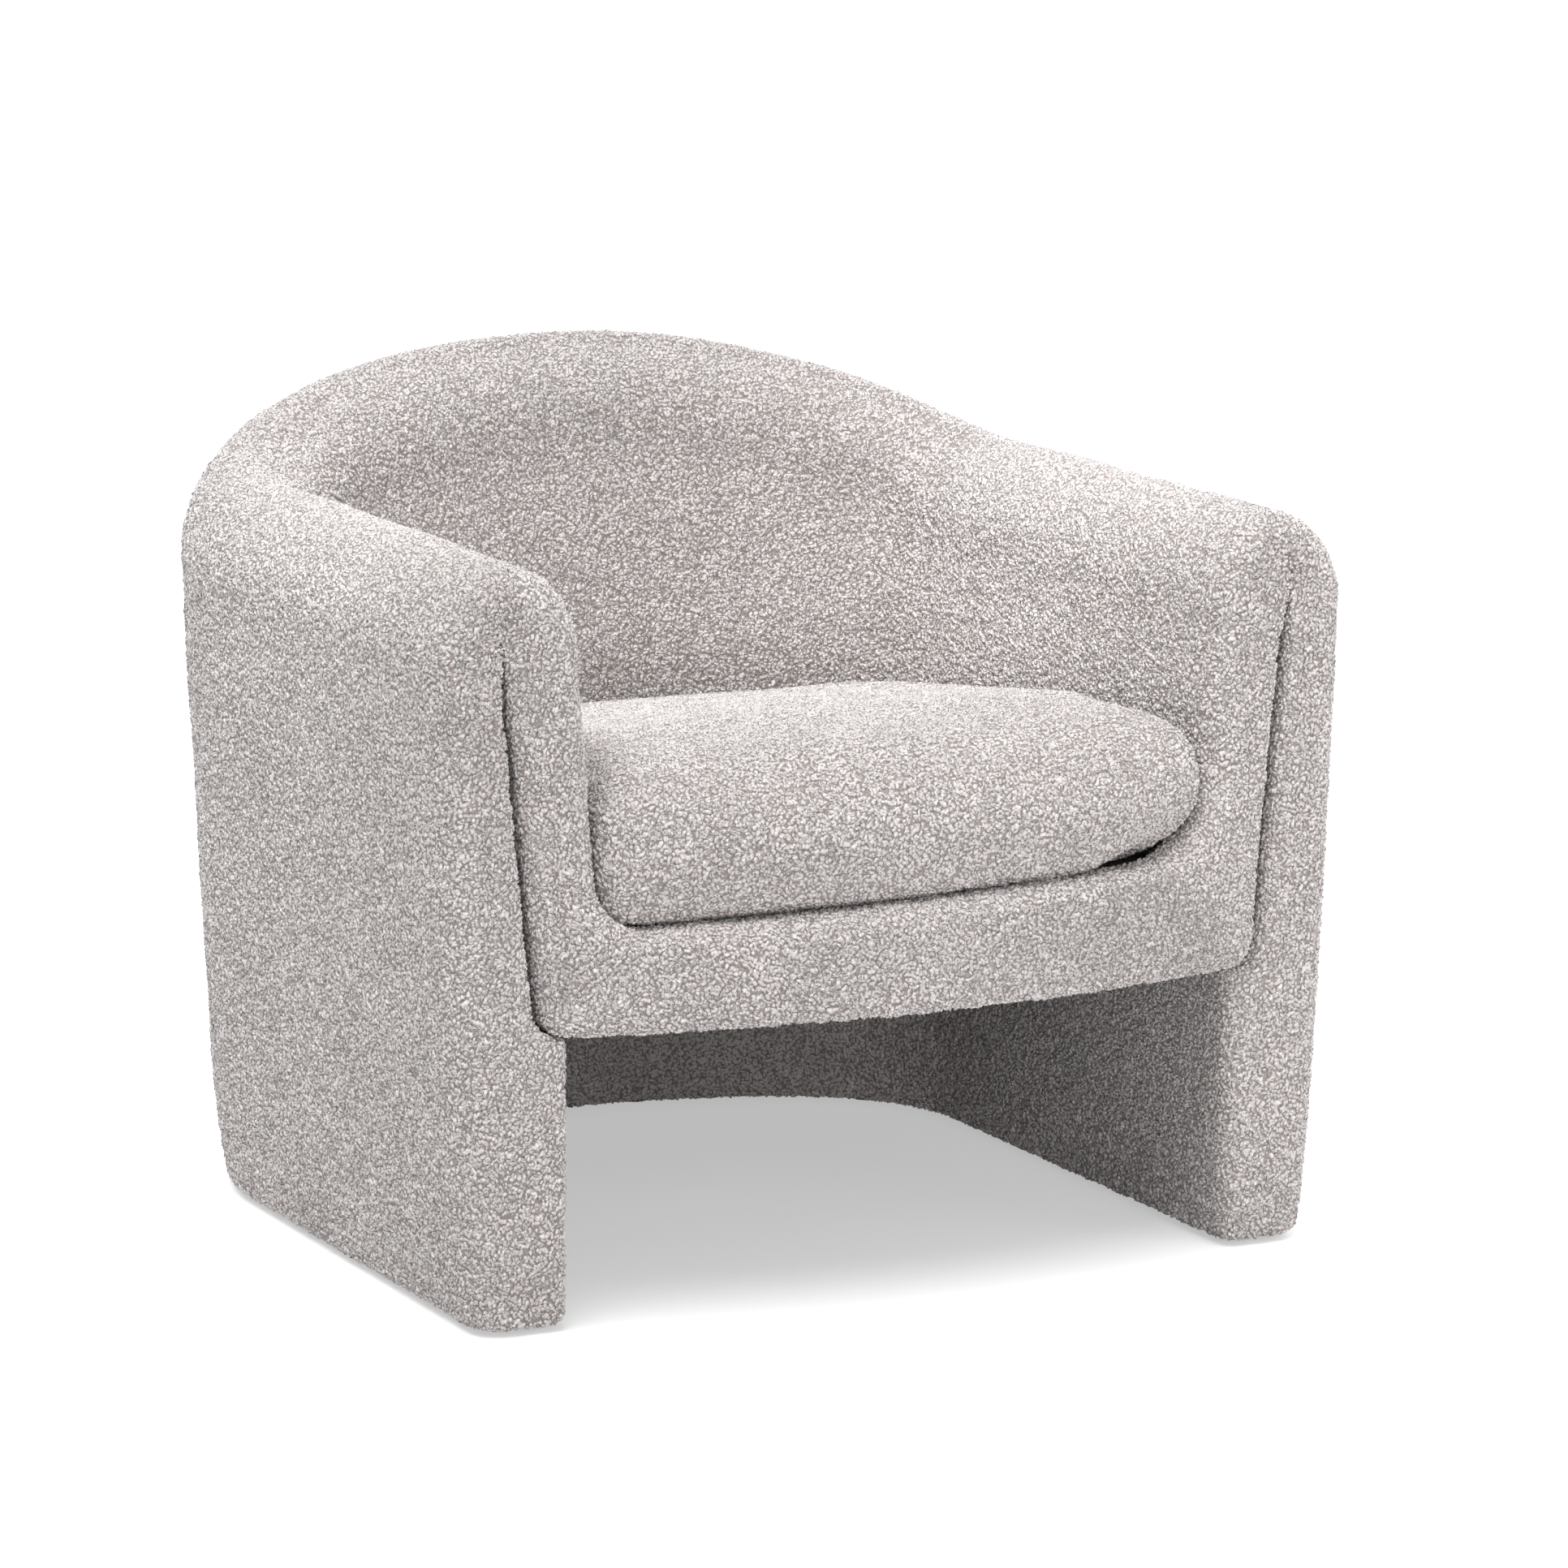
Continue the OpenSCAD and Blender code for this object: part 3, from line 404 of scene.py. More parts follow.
for cad_name, cad_node in frame["nodes"].items():
    for held in cad_node.material_slots:
        held.material = SLOTS[slot_of[cad_name]]

# Levels of the covers' grids
PITCH = 7.0
FOOT_R = 8.0
UNDER_STEPS = (30.0, 20.0, 10.0)
N_OUT, N_RO, N_RI, N_IN, N_LINING = 74, 15, 14, 36, 33
SUNK, OVERLAP = 0.7, 3.0

# Softening of the wall's section: the crest of the rim, then the inside of the roll
CREST_ROUNDS, CREST_REACH, CREST_SPREAD = 6, 4, 12
ROLL_ROUNDS, ROLL_REACH, ROLL_CAP = 240, 31, 7.0
ROLL_FADE_LEAD, ROLL_FADE_LEN = 150, 260

# Stuffing of the cover, which fades towards the front ends and the foot
SWELL_SIZE, SWELL_AMOUNT, COVER_PROUD = 62.0, 1.4, 0.7
SWELL_FADE_ROWS, SWELL_FADE_Z = 12, 60


def foot_levels():
    """Pairs of height and inset of the turned-under lower edge, from inside out."""
    under = [(GLIDE_H, FOOT_R + k) for k in UNDER_STEPS]
    turn = [(GLIDE_H + FOOT_R * (1 - math.sin(a)), FOOT_R * (1 - math.cos(a)))
            for a in np.linspace(math.pi / 2, 0, 6)[:-1]]
    return under + turn


def smooth_part(line, part):
    """Moves the points of a slice halfway to the middle of their neighbours."""
    before = line[part.start - 1:part.stop - 1]
    after = line[part.start + 1:part.stop + 1]
    line[part] += 0.5 * ((before + after) / 2 - line[part])


def wall_contour(y):
    """Outside, roll and inside of the wall at one station: offsets and heights."""
    zo, zi = rim_z(y) - ROLL_RO, rim_z(y) - ROLL_RI
    co, ci = out_off(zo) - ROLL_RO, ROLL_RI - top_off(zi)
    xm = (co + ci) / 2
    ao = math.acos((xm - co) / ROLL_RO) if co < ci else math.pi / 2
    ai = math.acos((ci - xm) / ROLL_RI) if co < ci else math.pi / 2
    foot = [(out_off(z) - inset, z) for z, inset in foot_levels()]
    outer = [(out_off(z), z) for z in np.linspace(GLIDE_H + FOOT_R, zo, N_OUT)]
    over = [(co + ROLL_RO * math.cos(a), zo + ROLL_RO * math.sin(a))
            for a in np.linspace(0, ao, N_RO + 1)[1:]]
    back = [(ci - ROLL_RI * math.cos(a), zi + ROLL_RI * math.sin(a))
            for a in np.linspace(ai, 0, N_RI + 1)[1:]]
    inner = [(-in_off(z, y), z) for z in np.linspace(zi, TUCK_Z, N_IN + 1)[1:]]
    line = np.array(foot + outer + over + back + inner, float)
    apex = len(foot) + N_OUT + N_RO - 1
    peak = line[apex, 1]
    for _ in range(CREST_ROUNDS):
        smooth_part(line, slice(apex - CREST_REACH, apex + CREST_REACH + 1))
    raised = 1 - np.minimum(np.abs(np.arange(len(line)) - apex) / CREST_SPREAD, 1)
    line[:, 1] += (peak - line[apex, 1]) * ease(raised)
    soft = line.copy()
    for _ in range(ROLL_ROUNDS):
        smooth_part(soft, slice(apex + 2, apex + N_RI + ROLL_REACH))
    move = soft - line
    far = np.maximum(np.linalg.norm(move, axis=1, keepdims=True), 1e-9)
    move *= ROLL_CAP * np.tanh(far / ROLL_CAP) / far
    return line + move * float(ease((y - CORNER_Y + ROLL_FADE_LEAD) / ROLL_FADE_LEN))


N_FOOT = len(foot_levels())
APEX = N_FOOT + N_OUT + N_RO - 1


def swell(points, outward, size, amount):
    """Slow unevenness of hand-stuffed padding."""
    p = points / size
    across = np.sin(p[..., 0] * 1.3 + 1.7 * np.sin(p[..., 2] * 1.1))
    along = np.sin(p[..., 1] * 1.7 + 0.6 + np.sin(p[..., 2] * 0.9 + p[..., 0]))
    return points + outward * (amount * (across + along) / 2)[..., None]


def with_tucked_ends(points, outward):
    """Adds a row at each end of a cover that goes a little under the front pads."""
    first, last = (points[k] - outward[k] * SUNK - [0, OVERLAP, 0] for k in (0, -1))
    points = np.concatenate([first[None], points, last[None]])
    return points, np.concatenate([outward[:1], outward, outward[-1:]])


def tub_cover():
    rows, outs = [], []
    stations = path(WALL_Y, PITCH)
    for s in stations:
        line = wall_contour(s[1])
        zo = rim_z(s[1]) - ROLL_RO
        out2 = np.stack([line[:, 0], np.maximum(line[:, 1] - zo, 0)], 1)
        out2 /= np.linalg.norm(out2, axis=1)[:, None]
        rows.append(np.stack([s[0] + s[2] * line[:, 0], s[1] + s[3] * line[:, 0], line[:, 1]], 1))
        outs.append(np.stack([s[2] * out2[:, 0], s[3] * out2[:, 0], out2[:, 1]], 1))
    points, outward = np.array(rows), np.array(outs)
    along = np.minimum(np.arange(len(stations)), np.arange(len(stations))[::-1])
    settle = ease(along / SWELL_FADE_ROWS)[:, None] * ease(points[:, :, 2] / SWELL_FADE_Z)
    stuffed = swell(points, outward, SWELL_SIZE, SWELL_AMOUNT) + outward * COVER_PROUD
    points = points + (stuffed - points) * settle[..., None]
    points, outward = with_tucked_ends(points, outward)
    return grid_piece("tub_cover_boucle", points, outward, COVER)


def leg_lining():
    rows = []
    heights = np.linspace(GLIDE_H + FOOT_R, RING_Z - LAYER_GAP, N_LINING)
    levels = foot_levels() + [(z, 0.0) for z in heights]
    z = np.array([v[0] for v in levels])
    off = np.array([v[1] for v in levels]) - leg_off(z)
    stations = path(WALL_Y, PITCH)
    for s in stations:
        rows.append(np.stack([s[0] + s[2] * off, s[1] + s[3] * off, z], 1))
    points = np.array(rows)
    inward = np.stack([-stations[:, 2], -stations[:, 3], 0 * stations[:, 2]], 1)
    points, inward = with_tucked_ends(points, inward[:, None, :] + 0 * points)
    return grid_piece("leg_lining_boucle", points, inward, COVER)


# Front pads: sections between paired edges, rounded at both ends
N_FLAT, N_EDGE_A, N_EDGE_B = 13, 10, 8
EDGE_SHARE, CROWN_POWER, CROWN_DEPTH = 0.48, 0.7, 12
TUCK_DEPTH, INNER_DEPTH = FACING_T + OVERLAP, FACING_T - 2.5


def section(w, ra, rb, inset, crown):
    """Across the pad, then into its depth: both ends tucked, both edges rounded."""
    ra, rb = min(ra, w * EDGE_SHARE), min(rb, w * EDGE_SHARE)
    qa = [(ra * (1 - math.cos(a)), ra * (1 - math.sin(a)))
          for a in np.linspace(0, math.pi / 2, N_EDGE_A)]
    qb = [(w - rb * (1 - math.cos(a)), rb * (1 - math.sin(a)))
          for a in np.linspace(math.pi / 2, 0, N_EDGE_B)]
    flat = [(s, 0.0) for s in np.linspace(ra, w - rb, N_FLAT + 2)[1:-1]]
    line = [(SUNK, TUCK_DEPTH), (0, FACING_T), (0, (INNER_DEPTH + ra) / 2 + 1)]
    line += qa + flat + qb
    line += [(w, (INNER_DEPTH + rb) / 2 + 1), (w, (INNER_DEPTH * 3 + rb) / 4),
             (w, FACING_T), (w - SUNK, TUCK_DEPTH)]
    line = np.array(line)
    x = np.clip(line[:, 0] / w, 0, 1)
    bulge = crown * (4 * x * (1 - x)) ** CROWN_POWER
    line[:, 1] -= bulge * np.clip(1 - line[:, 1] / CROWN_DEPTH, 0, 1)
    line[:, 1] = np.minimum(line[:, 1] + inset, TUCK_DEPTH)
    return line


EDGE_RAGGED, PROUD_FADE_Z = 0.6, 120


def pad_rows(pairs, bowed, proud=0.0, ragged=0.0):
    """One section for each pair of edge points, with two random draws for its ends."""
    rows = []
    for a, b, ra, rb, inset, crown in pairs:
        a, b = np.array(a, float), np.array(b, float)
        u = (b - a) / np.linalg.norm(b - a)
        near = inset + ragged * RNG.uniform(-1, 1)
        far = inset + EDGE_RAGGED * RNG.uniform(-1, 1)
        a, b = a + u * near, b - u * far
        line = section(np.linalg.norm(b - a), ra, rb, inset, crown)
        q = a + u * line[:, :1]
        base = front_y(q[:, 0], q[:, 1]) if bowed else FACE_Y
        ahead = proud * ease((FAN_Z - q[:, 1]) / PROUD_FADE_Z)
        ahead = ahead * np.clip(1 - line[:, 1] / FACING_T, 0, 1)
        rows.append(np.stack([q[:, 0], base + line[:, 1] - ahead, q[:, 1]], 1))
    return np.array(rows)


SEAM_R, SEAM_OPEN, CROWN = 9.0, 3.3, 3.5
SEAM_START, SEAM_RUN, LEAST_EDGE = 4, 75, 0.4
CROWN_FOOT_Z, CROWN_END_Z, CROWN_END_LEN = 60, 500, 100
CORNER_CX, CORNER_CZ = SEAM_LOW_X - APRON_CORNER_R, APRON_Z + APRON_CORNER_R


def seam_share(z):
    """The seam opens from nothing under the arm top to its full depth."""
    return float(ease((FAN_Z + SEAM_START - z) / SEAM_RUN))


def seam_edge(share, radius=SEAM_R):
    return max(LEAST_EDGE, radius * share)


def facing_crown(z):
    foot, top = float(ease(z / CROWN_FOOT_Z)), float(ease((z - CROWN_END_Z) / CROWN_END_LEN))
    return CROWN * foot * (1 - top)


def facing_pairs():
    line = wall_contour(WALL_Y)
    roll_zo = float(rim_z(WALL_Y)) - ROLL_RO
    leg_top, r = APRON_Z - 1.0, APRON_CORNER_R + SEAM_OPEN
    made = []
    for i in range(APEX + 1):
        off, z = line[i]
        inset = 0.0
        if i < N_FOOT:
            z, inset = foot_levels()[i]
            off = float(out_off(z))
        a = (SPINE_X + off, z)
        edge = SEAM_R
        if i >= N_FOOT + N_OUT - 1:
            t = (i - N_FOOT - N_OUT + 1) / N_RO
            zq = roll_zo + (FAN_Z - roll_zo) * t
            b = (seam_x(zq) + SEAM_OPEN * seam_share(zq), zq)
            edge = seam_edge(seam_share(zq))
        elif z <= leg_top:
            b = (SPINE_X - float(leg_off(z)), z)
            edge = LEG_EDGE_R
        elif z <= CORNER_CZ:
            turn = math.pi / 2 * (z - leg_top) / (CORNER_CZ - leg_top)
            b = (CORNER_CX + r * math.sin(turn), CORNER_CZ - r * math.cos(turn))
        else:
            b = (seam_x(z) + SEAM_OPEN * seam_share(z), z)
            edge = seam_edge(seam_share(z))
        made.append((a, b, FACE_R, edge, inset, facing_crown(z)))
    return made


def arm_facing(side, name):
    points = pad_rows(facing_pairs(), False) * [side, 1, 1]
    return grid_piece(name, points, np.array([0, -1.0, 0]), COVER)


# Stations of the apron's half, and the pocket's corner on each side
N_ARM, N_TURN, N_MIDDLE = 27, 12, 42
POCKET_ADDED = {1: 32, -1: -4}
SETTLED_X, PAD_SEAM_R, APRON_CROWN, APRON_CROWN_ROWS = 230, SEAM_R + 2, 2.5, 20


def settled(x):
    """The deck's front edge lies a little lower on one side of the used chair."""
    return 0.03 * x


def half_apron(side):
    """Pairs of seam edge and pocket edge, from the arm top to the middle of the apron."""
    line = wall_contour(WALL_Y)
    roll_zi = float(rim_z(WALL_Y)) - ROLL_RI
    pocket = POCKET_R + POCKET_ADDED[side]
    px, pz = SEAT_W / 2 - pocket, DECK_H + settled(side * SETTLED_X) + pocket
    made = []
    for i in range(N_RI + 1):
        zq = FAN_Z + (roll_zi - FAN_Z) * i / N_RI
        share = seam_share(zq)
        made.append(((seam_x(zq) - SEAM_OPEN * share, zq),
                     (SPINE_X + line[APEX + i][0], line[APEX + i][1]),
                     seam_edge(share), FACE_R))
    for z in np.linspace(roll_zi, pz, N_ARM)[1:]:
        share = seam_share(z)
        made.append(((seam_x(z) - SEAM_OPEN * share, z), (SPINE_X - float(in_off(z, WALL_Y)), z),
                     seam_edge(share, PAD_SEAM_R), FACE_R))
    for t in np.linspace(0, 1, N_TURN)[1:]:
        z, a = pz + (CORNER_CZ - pz) * t, math.pi / 4 * t
        made.append(((seam_x(z) - SEAM_OPEN, z),
                     (px + pocket * math.cos(a), pz - pocket * math.sin(a)),
                     PAD_SEAM_R, FACE_R + (APRON_R - FACE_R) * t))
    for t in np.linspace(0, 1, N_TURN)[1:]:
        a, b, r = math.pi / 2 * t, math.pi / 4 * (1 + t), APRON_CORNER_R - SEAM_OPEN * (1 - t)
        made.append(((CORNER_CX + r * math.cos(a), CORNER_CZ - r * math.sin(a)),
                     (px + pocket * math.cos(b), pz - pocket * math.sin(b)),
                     PAD_SEAM_R + (LEG_EDGE_R - SEAM_R - 2) * t, APRON_R))
    past_corner = settled(side * SETTLED_X) - settled(side * px)
    for t in np.linspace(1, 0, N_MIDDLE)[1:]:
        top = DECK_H + settled(side * px * t) + past_corner * float(ease(t * 2 - 1))
        made.append(((CORNER_CX * t, APRON_Z), (px * t, top), LEG_EDGE_R, APRON_R))
    made = [(*m, 0.0, APRON_CROWN * float(ease(i / APRON_CROWN_ROWS))) for i, m in enumerate(made)]
    return [((side * m[0][0], m[0][1]), (side * m[1][0], m[1][1]), *m[2:]) for m in made]


def apron_pairs():
    return half_apron(1) + half_apron(-1)[-2::-1]


def apron():
    points = pad_rows(apron_pairs(), True, proud=3.0, ragged=1.0)
    return grid_piece("front_apron_boucle", points, np.array([0, -1.0, 0]), COVER)


# Loose cushion
CUSHION_HALF = SEAT_W / 2 - CUSHION_GAP
CUSHION_BOW_R = BOW_R - 4
CUSHION_MID_Y = (FACE_Y + SEAT_BACK_Y) / 2
CREST_Y = FACE_Y + 135
SHARPER_CORNER, BACK_EASING, TOP_RISE = 18, 3, 3.0
RIGHT_FROM_X, RIGHT_RUN, AHEAD_FROM = 150, 105, 0.3
SETTLED_RUN, CAP_RINGS, CAP_REACH = 160, 18, 0.98

# Section of the cushion's edge: inset in nose radii, share of the height
LEFT_PROFILE = np.array([
    [3.3, 0], [1.4, 0], [0.5, -0.01], [0.2, -0.02], [0.02, 0.04], [-0.04, 0.36], [0.03, 0.62],
    [0.2, 0.81], [0.48, 0.93], [0.95, 0.99], [1.7, 1.01], [3.1, 1.03]])
RIGHT_PROFILE = np.array([
    [3.3, 0], [1.75, 0], [1.1, 0.02], [0.52, 0.12], [0.12, 0.31], [0, 0.50], [0.0, 0.68],
    [0.1, 0.85], [0.32, 0.96], [0.7, 1.01], [1.4, 1.02], [3.1, 1.03]])


def arc_rows(off):
    """Points at an inward offset along the corner and the back, for one half."""
    line = path(CORNER_Y - 1, 6.0)
    half = line[: len(line) // 2 + 1]
    half = half[half[:, 1] >= CORNER_Y - 0.5]
    o = -off(half[:, 1])
    return np.stack([half[:, 0] + half[:, 2] * o, half[:, 1] + half[:, 3] * o], 1)


def half_outline(r):
    corner_y = BOW_CY - math.sqrt((CUSHION_BOW_R - r) ** 2 - (CUSHION_HALF - r) ** 2)
    turn = math.atan2(CUSHION_HALF - r, BOW_CY - corner_y)
    a = np.linspace(0, turn, 40)[:-1]
    front = np.stack([CUSHION_BOW_R * np.sin(a), BOW_CY - CUSHION_BOW_R * np.cos(a)], 1)
    a = np.linspace(turn, math.pi / 2, 12)
    corner = np.stack([CUSHION_HALF - r + r * np.sin(a), corner_y - r * np.cos(a)], 1)
    ys = np.linspace(corner_y, CORNER_Y, 50)[1:-1]
    side = np.stack([np.full_like(ys, CUSHION_HALF), ys], 1)
    back = arc_rows(lambda y: seat_off(y) + CUSHION_GAP
                    + BACK_EASING * ease((y - CORNER_Y) / (SPINE_BACK_Y - CORNER_Y)))
    return np.concatenate([front, corner, side, back])


def cushion_outline():
    """The plan of the cushion, with one front corner pushed fuller than the other."""
    right_half = half_outline(CUSHION_CORNER_R - SHARPER_CORNER)
    left_half = half_outline(CUSHION_CORNER_R)[-2:0:-1] * [-1, 1]
    return np.concatenate([right_half, left_half])


def smooth_line(points, n):
    """Catmull-Rom curve through the points, with n steps between each two."""
    p = np.concatenate([2 * points[:1] - points[1:2], points, 2 * points[-1:] - points[-2:-1]])
    made = []
    for i in range(1, len(p) - 2):
        a, b, c, d = p[i - 1:i + 3]
        slope, bend, twist = c - a, 2 * a - 5 * b + 4 * c - d, 3 * b - a - 3 * c + d
        made += [0.5 * (2 * b + slope * t + bend * t**2 + twist * t**3) for t in np.arange(n) / n]
    return np.array(made + [p[-2]])


def cushion_points(shrink):
    """Rings of the cushion from the middle of its underside to the middle of its top."""
    outline = cushion_outline()
    centre = np.array([0, CUSHION_MID_Y])
    reach = np.linalg.norm(outline - centre, axis=1)
    fall = (CUSHION_H - CUSHION_BACK_H) / (SEAT_BACK_Y - CREST_Y)
    rings = []
    rightness = ease((outline[:, 0] - RIGHT_FROM_X) / RIGHT_RUN)

    def ring(left_pair, right_pair):
        inset, share = [a + (b - a) * rightness for a, b in zip(left_pair, right_pair)]
        ahead = (CUSHION_MID_Y - outline[:, 1]) / reach > AHEAD_FROM
        insets = np.stack([inset, np.where(ahead, left_pair[0], inset)], 1) * NOSE_R + shrink
        insets = np.minimum(insets, reach[:, None] * CAP_REACH)
        q = outline + (centre - outline) * (insets / reach[:, None])
        dip = settled(q[:, 0]) * ease((FACE_Y + SETTLED_RUN - q[:, 1]) / SETTLED_RUN)
        low = deck_z(q[:, 1]) + LAYER_GAP + shrink + dip
        high = CUSHION_H - fall * np.maximum(0, q[:, 1] - CREST_Y) - shrink
        return np.stack([q[:, 0], q[:, 1], low + (high - low) * share], 1)

    profile = zip(smooth_line(LEFT_PROFILE, 4), smooth_line(RIGHT_PROFILE, 4))
    base = ring(LEFT_PROFILE[0], RIGHT_PROFILE[0])
    bottom = np.array([0, CUSHION_MID_Y, float(np.mean(base[:, 2]))])
    rings += [base + (bottom - base) * t for t in np.linspace(CAP_REACH, 0.0, CAP_RINGS)[:-1]]
    rings += [ring(a, b) for a, b in profile]
    top = rings[-1]
    peak = np.array([0, CUSHION_MID_Y, float(np.mean(top[:, 2])) + TOP_RISE])
    rings += [top + (peak - top) * t for t in np.linspace(0.0, CAP_REACH, CAP_RINGS)[1:]]
    return np.array(rings)


def closed_rings(name, points, material):
    rows, cols = points.shape[:2]
    centre = points.reshape(-1, 3).mean(0)
    du = points[1:, :-1] - points[:-1, :-1]
    dv = points[:-1, 1:] - points[:-1, :-1]
    flip = np.sum(np.cross(dv, du) * (points[:-1, :-1] - centre)) < 0
    faces = grid_faces(rows, cols, True, flip)
    ends = [list(range(cols)), list(range((rows - 1) * cols, rows * cols))]
    ends[0 if not flip else 1].reverse()
    return as_object(name, points.reshape(-1, 3), faces + ends, material)


def evaluated_mesh(piece):
    dg = bpy.context.evaluated_depsgraph_get()
    return bpy.data.meshes.new_from_object(piece.evaluated_get(dg))


def points_of(mesh):
    flat = np.empty(len(mesh.vertices) * 3)
    mesh.vertices.foreach_get("co", flat)
    return flat.reshape(-1, 3)


def inflate(piece, voxel, pressure, steps, cap):
    """Swells the piece as sewn cloth round its filling, then caps how far a point moved."""
    bpy.context.view_layer.objects.active = piece
    mesher = piece.modifiers.new("remesh", "REMESH")
    mesher.mode = "VOXEL"
    mesher.voxel_size = voxel
    piece.data = evaluated_mesh(piece)
    piece.modifiers.clear()
    start = points_of(piece.data)
    scene = bpy.context.scene
    cloth = piece.modifiers.new("swell", "CLOTH")
    s = cloth.settings
    s.quality = 4
    s.mass = 0.3
    s.tension_stiffness = s.compression_stiffness = 18
    s.shear_stiffness = 10
    s.bending_stiffness = 2.0
    s.use_pressure = True
    s.uniform_pressure_force = pressure
    s.effector_weights.gravity = 0
    cloth.point_cache.frame_start, cloth.point_cache.frame_end = 1, steps
    for f in range(1, steps + 1):
        scene.frame_set(f)
    move = points_of(evaluated_mesh(piece)) - start
    piece.modifiers.clear()
    scene.frame_set(1)
    far = np.maximum(np.linalg.norm(move, axis=1), 1e-9)
    move *= (cap * np.tanh(far / cap) / far)[:, None]
    piece.data.vertices.foreach_set("co", (start + move).ravel())
    piece.data.update()


def relax(piece, rounds):
    mod = piece.modifiers.new("relax", "SMOOTH")
    mod.factor, mod.iterations = 0.5, rounds
    piece.data = evaluated_mesh(piece)
    piece.modifiers.clear()


def cushion():
    piece = closed_rings("seat_cushion_boucle", cushion_points(shrink=3.0), COVER)
    inflate(piece, voxel=0.0065, pressure=4.0, steps=12, cap=0.006)
    relax(piece, rounds=4)
    piece.data.polygons.foreach_set("use_smooth", [True] * len(piece.data.polygons))
    return piece


# Cloths over and under the springs
N_ACROSS, N_ALONG = 61, 71
EDGE_FADE, RIPPLE, RIPPLE_FADE = 6.0, 0.5, 40


def plan_sheet(name, half_x, front, off, height, material, dip):
    """A taut cloth over the plan of the seat, whose edges turn down or up by dip."""
    arc = arc_rows(off)[::-1]
    xs = half_x * np.sin(np.linspace(-1, 1, N_ACROSS) * math.pi / 2)
    lo = front(np.abs(xs))
    hi = np.interp(np.abs(xs), arc[:, 0], arc[:, 1])
    t = np.linspace(0, 1, N_ALONG)
    ys = lo[:, None] + (hi - lo)[:, None] * t
    px = np.repeat(xs[:, None], len(t), 1)
    edge = np.minimum((1 - np.abs(xs) / half_x)[:, None] * half_x,
                      np.minimum(t, 1 - t) * (hi - lo)[:, None])
    z = height(ys) - dip * np.exp(-edge / EDGE_FADE)
    z += RIPPLE * np.sin(px / 31) * np.sin(ys / 27) * np.clip(edge / RIPPLE_FADE, 0, 1)
    seen_side = np.array([0, 0, math.copysign(1.0, dip)])
    return grid_piece(name, np.stack([px, ys, z], -1), seen_side, material)


cover = on_body(tub_cover(), "chair", "boucle", "tub_cover", "tub_foam", "outer_foam")
lining = on_body(leg_lining(), "chair", "boucle", "leg_lining")
right = on_body(arm_facing(1, "right_arm_facing_boucle"), "chair", "boucle", "right_arm_facing")
left = on_body(arm_facing(-1, "left_arm_facing_boucle"), "chair", "boucle", "left_arm_facing")
front = on_body(apron(), "chair", "boucle", "front_apron_pad")
seat = on_body(cushion(), "cushion", "boucle", "seat_cushion", "cushion_core")
for piece in (cover, lining, right, left, front) + (((seat,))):
    add_subdivision(piece, 2)

deck = plan_sheet("deck_cloth_woven", SEAT_W / 2 - 0.8, lambda x: bow_y(x) + FACING_T + 1.4,
                  lambda y: seat_off(y) + 0.8, lambda y: deck_z(y) - 0.6, SLOTS["deck_cloth"], 5.0)
on_body(deck, "chair", "deck_cloth", "deck_cloth", "deck_foam", "spring_felt")
INNER_X = SPINE_X - float(leg_off(RING_Z)) - 2
dust = plan_sheet("dust_cover_cloth", INNER_X, lambda x: bow_y(x) + FACING_T + 2,
                  lambda y: leg_off(RING_Z) + 2, lambda y: RING_Z - 1.6 + 0 * y,
                  SLOTS["black_cloth"], -1.5)
on_body(dust, "chair", "black_cloth", "dust_cover")

# Floor, light and camera
white, tree, shader = new_material("floor_pale")
shader.inputs["Base Color"].default_value = (0.70, 0.70, 0.70, 1)
shader.inputs["Roughness"].default_value = 0.9
coords = tree.nodes.new("ShaderNodeTexCoord").outputs["Object"]
speck = noise(tree, coords, 300, 2.0)
bump(tree, speck.outputs["Fac"], 0.05, 0.0005, shader)
sees = tree.nodes.new("ShaderNodeLightPath")
glow = node(tree, "ShaderNodeEmission", Strength=0.45)
add = tree.nodes.new("ShaderNodeAddShader")
mix = tree.nodes.new("ShaderNodeMixShader")
tree.links.new(sees.outputs["Is Camera Ray"], mix.inputs[0])
tree.links.new(shader.outputs[0], mix.inputs[1])
tree.links.new(add.outputs[0], mix.inputs[2])
tree.links.new(shader.outputs[0], add.inputs[0])
tree.links.new(glow.outputs[0], add.inputs[1])
tree.links.new(mix.outputs[0], tree.nodes["Material Output"].inputs["Surface"])
bpy.ops.mesh.primitive_plane_add(size=60, location=(0, 0, 0))
floor = bpy.context.active_object
floor.name = "studio_floor"
floor.data.materials.append(white)

world = bpy.data.worlds.new("studio")
world.use_nodes = True
bpy.context.scene.world = world
wt = world.node_tree
back = wt.nodes["Background"]
back.inputs[0].default_value = (1, 1, 1, 1)
back.inputs[1].default_value = 0.38
plain = wt.nodes.new("ShaderNodeBackground")
plain.inputs[0].default_value = (1, 1, 1, 1)
plain.inputs[1].default_value = 1.0
rays = wt.nodes.new("ShaderNodeLightPath")
seen = math_node(wt, "MAXIMUM", rays.outputs["Is Camera Ray"], rays.outputs["Is Glossy Ray"])
pick = wt.nodes.new("ShaderNodeMixShader")
wt.links.new(seen, pick.inputs[0])
wt.links.new(back.outputs[0], pick.inputs[1])
wt.links.new(plain.outputs[0], pick.inputs[2])
wt.links.new(pick.outputs[0], wt.nodes["World Output"].inputs["Surface"])


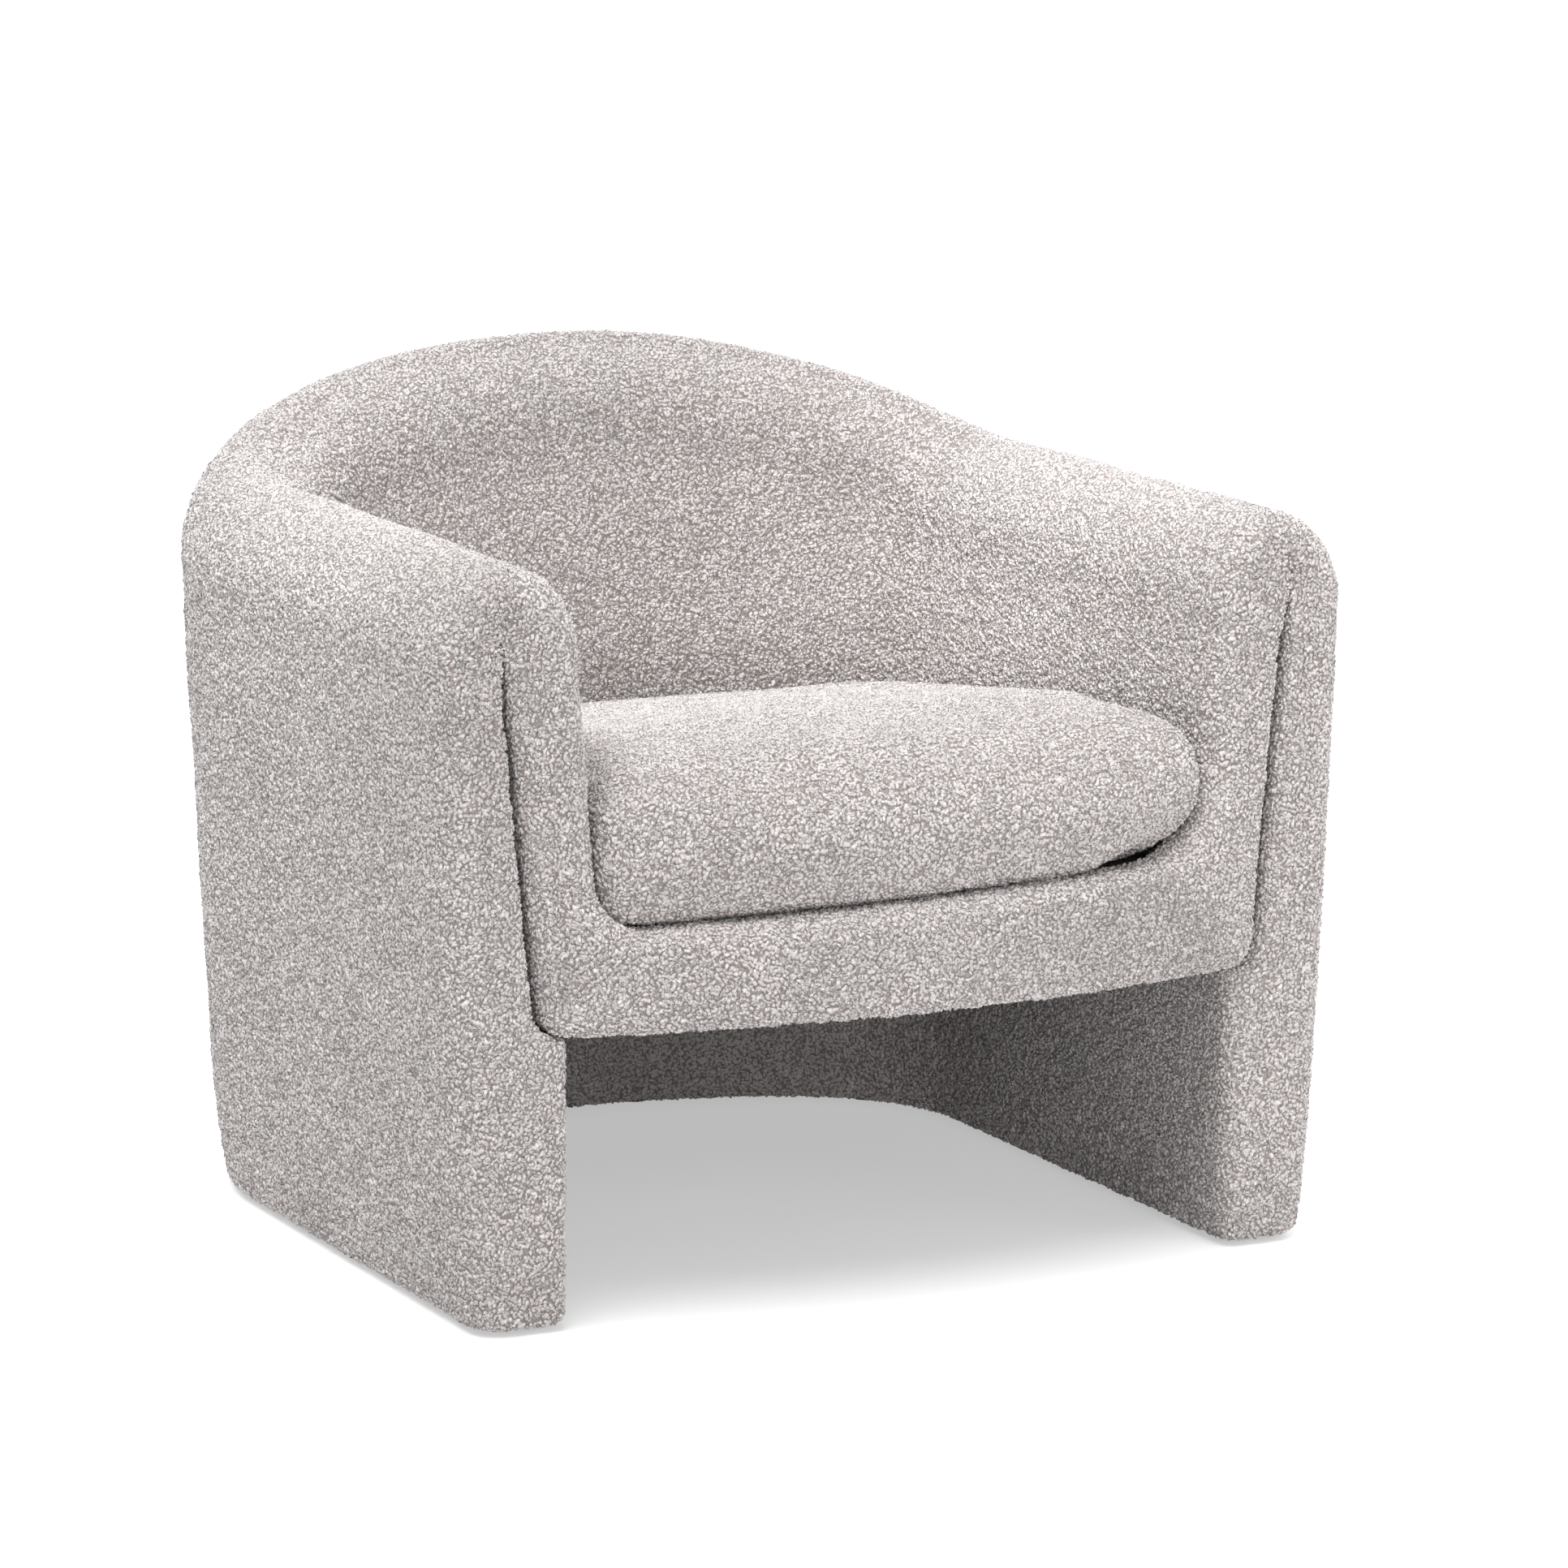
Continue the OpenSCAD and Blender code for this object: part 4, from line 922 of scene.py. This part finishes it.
def hang(name, lamp, at, towards):
    """Places a lamp that shines away from the direction towards."""
    made = bpy.data.objects.new(name, lamp)
    made.location = at
    made.rotation_mode = "QUATERNION"
    made.rotation_quaternion = towards.to_track_quat("Z", "Y")
    bpy.context.scene.collection.objects.link(made)
    return made


def sun(name, towards, strength, angle):
    lamp = bpy.data.lights.new(name, "SUN")
    lamp.energy = strength
    lamp.angle = math.radians(angle)
    hang(name, lamp, (0, 0, 0), Vector(towards))


def area_lamp(name, at, aim, side, power):
    lamp = bpy.data.lights.new(name, "AREA")
    lamp.shape, lamp.size, lamp.energy = "SQUARE", side, power
    hang(name, lamp, at, Vector(at) - Vector(aim)).visible_camera = False


def spot(name, at, aim, power, cone):
    lamp = bpy.data.lights.new(name, "SPOT")
    lamp.energy, lamp.spot_size = power, math.radians(cone)
    lamp.spot_blend, lamp.shadow_soft_size = 1.0, 0.15
    hang(name, lamp, at, Vector(at) - Vector(aim))


sun("key_left_top", (-0.28, -0.16, 0.94), 2.68, 45)
sun("rim_right_back", (0.60, 0.28, 0.62), 1.05, 40)
sun("fill_front_low", (-0.30, -0.94, 0.10), 1.02, 50)
area_lamp("fill_right_front", (1.3, -1.9, 0.5), (0.30, -0.35, 0.22), 1.0, 8.5)
spot("window_patch", (-0.9, -0.9, 1.9), (0.37, 0.0, 0.52), 85.0, 22)
spot("left_patch", (-0.85, -0.5, 2.0), (-0.30, 0.0, 0.62), 36.0, 24)

# Camera, as fitted to the photo's outlines
YAW, PITCH_DOWN = math.radians(25.609), math.radians(10.5845)
camera_data = bpy.data.cameras.new("camera")
camera_data.sensor_width = 36.0
camera_data.lens = 152.06
camera_data.shift_x, camera_data.shift_y = 0.0524, 0.0021
camera_data.clip_end = 100
camera = bpy.data.objects.new("camera", camera_data)
camera.location = Vector((-2350.7, -4892.7, 1359.5)) * MM
aim = Vector((math.sin(YAW) * math.cos(PITCH_DOWN), math.cos(YAW) * math.cos(PITCH_DOWN),
              -math.sin(PITCH_DOWN)))
camera.rotation_mode = "QUATERNION"
camera.rotation_quaternion = aim.to_track_quat("-Z", "Y")
bpy.context.scene.collection.objects.link(camera)
bpy.context.scene.camera = camera
bpy.context.scene.view_settings.view_transform = "Standard"
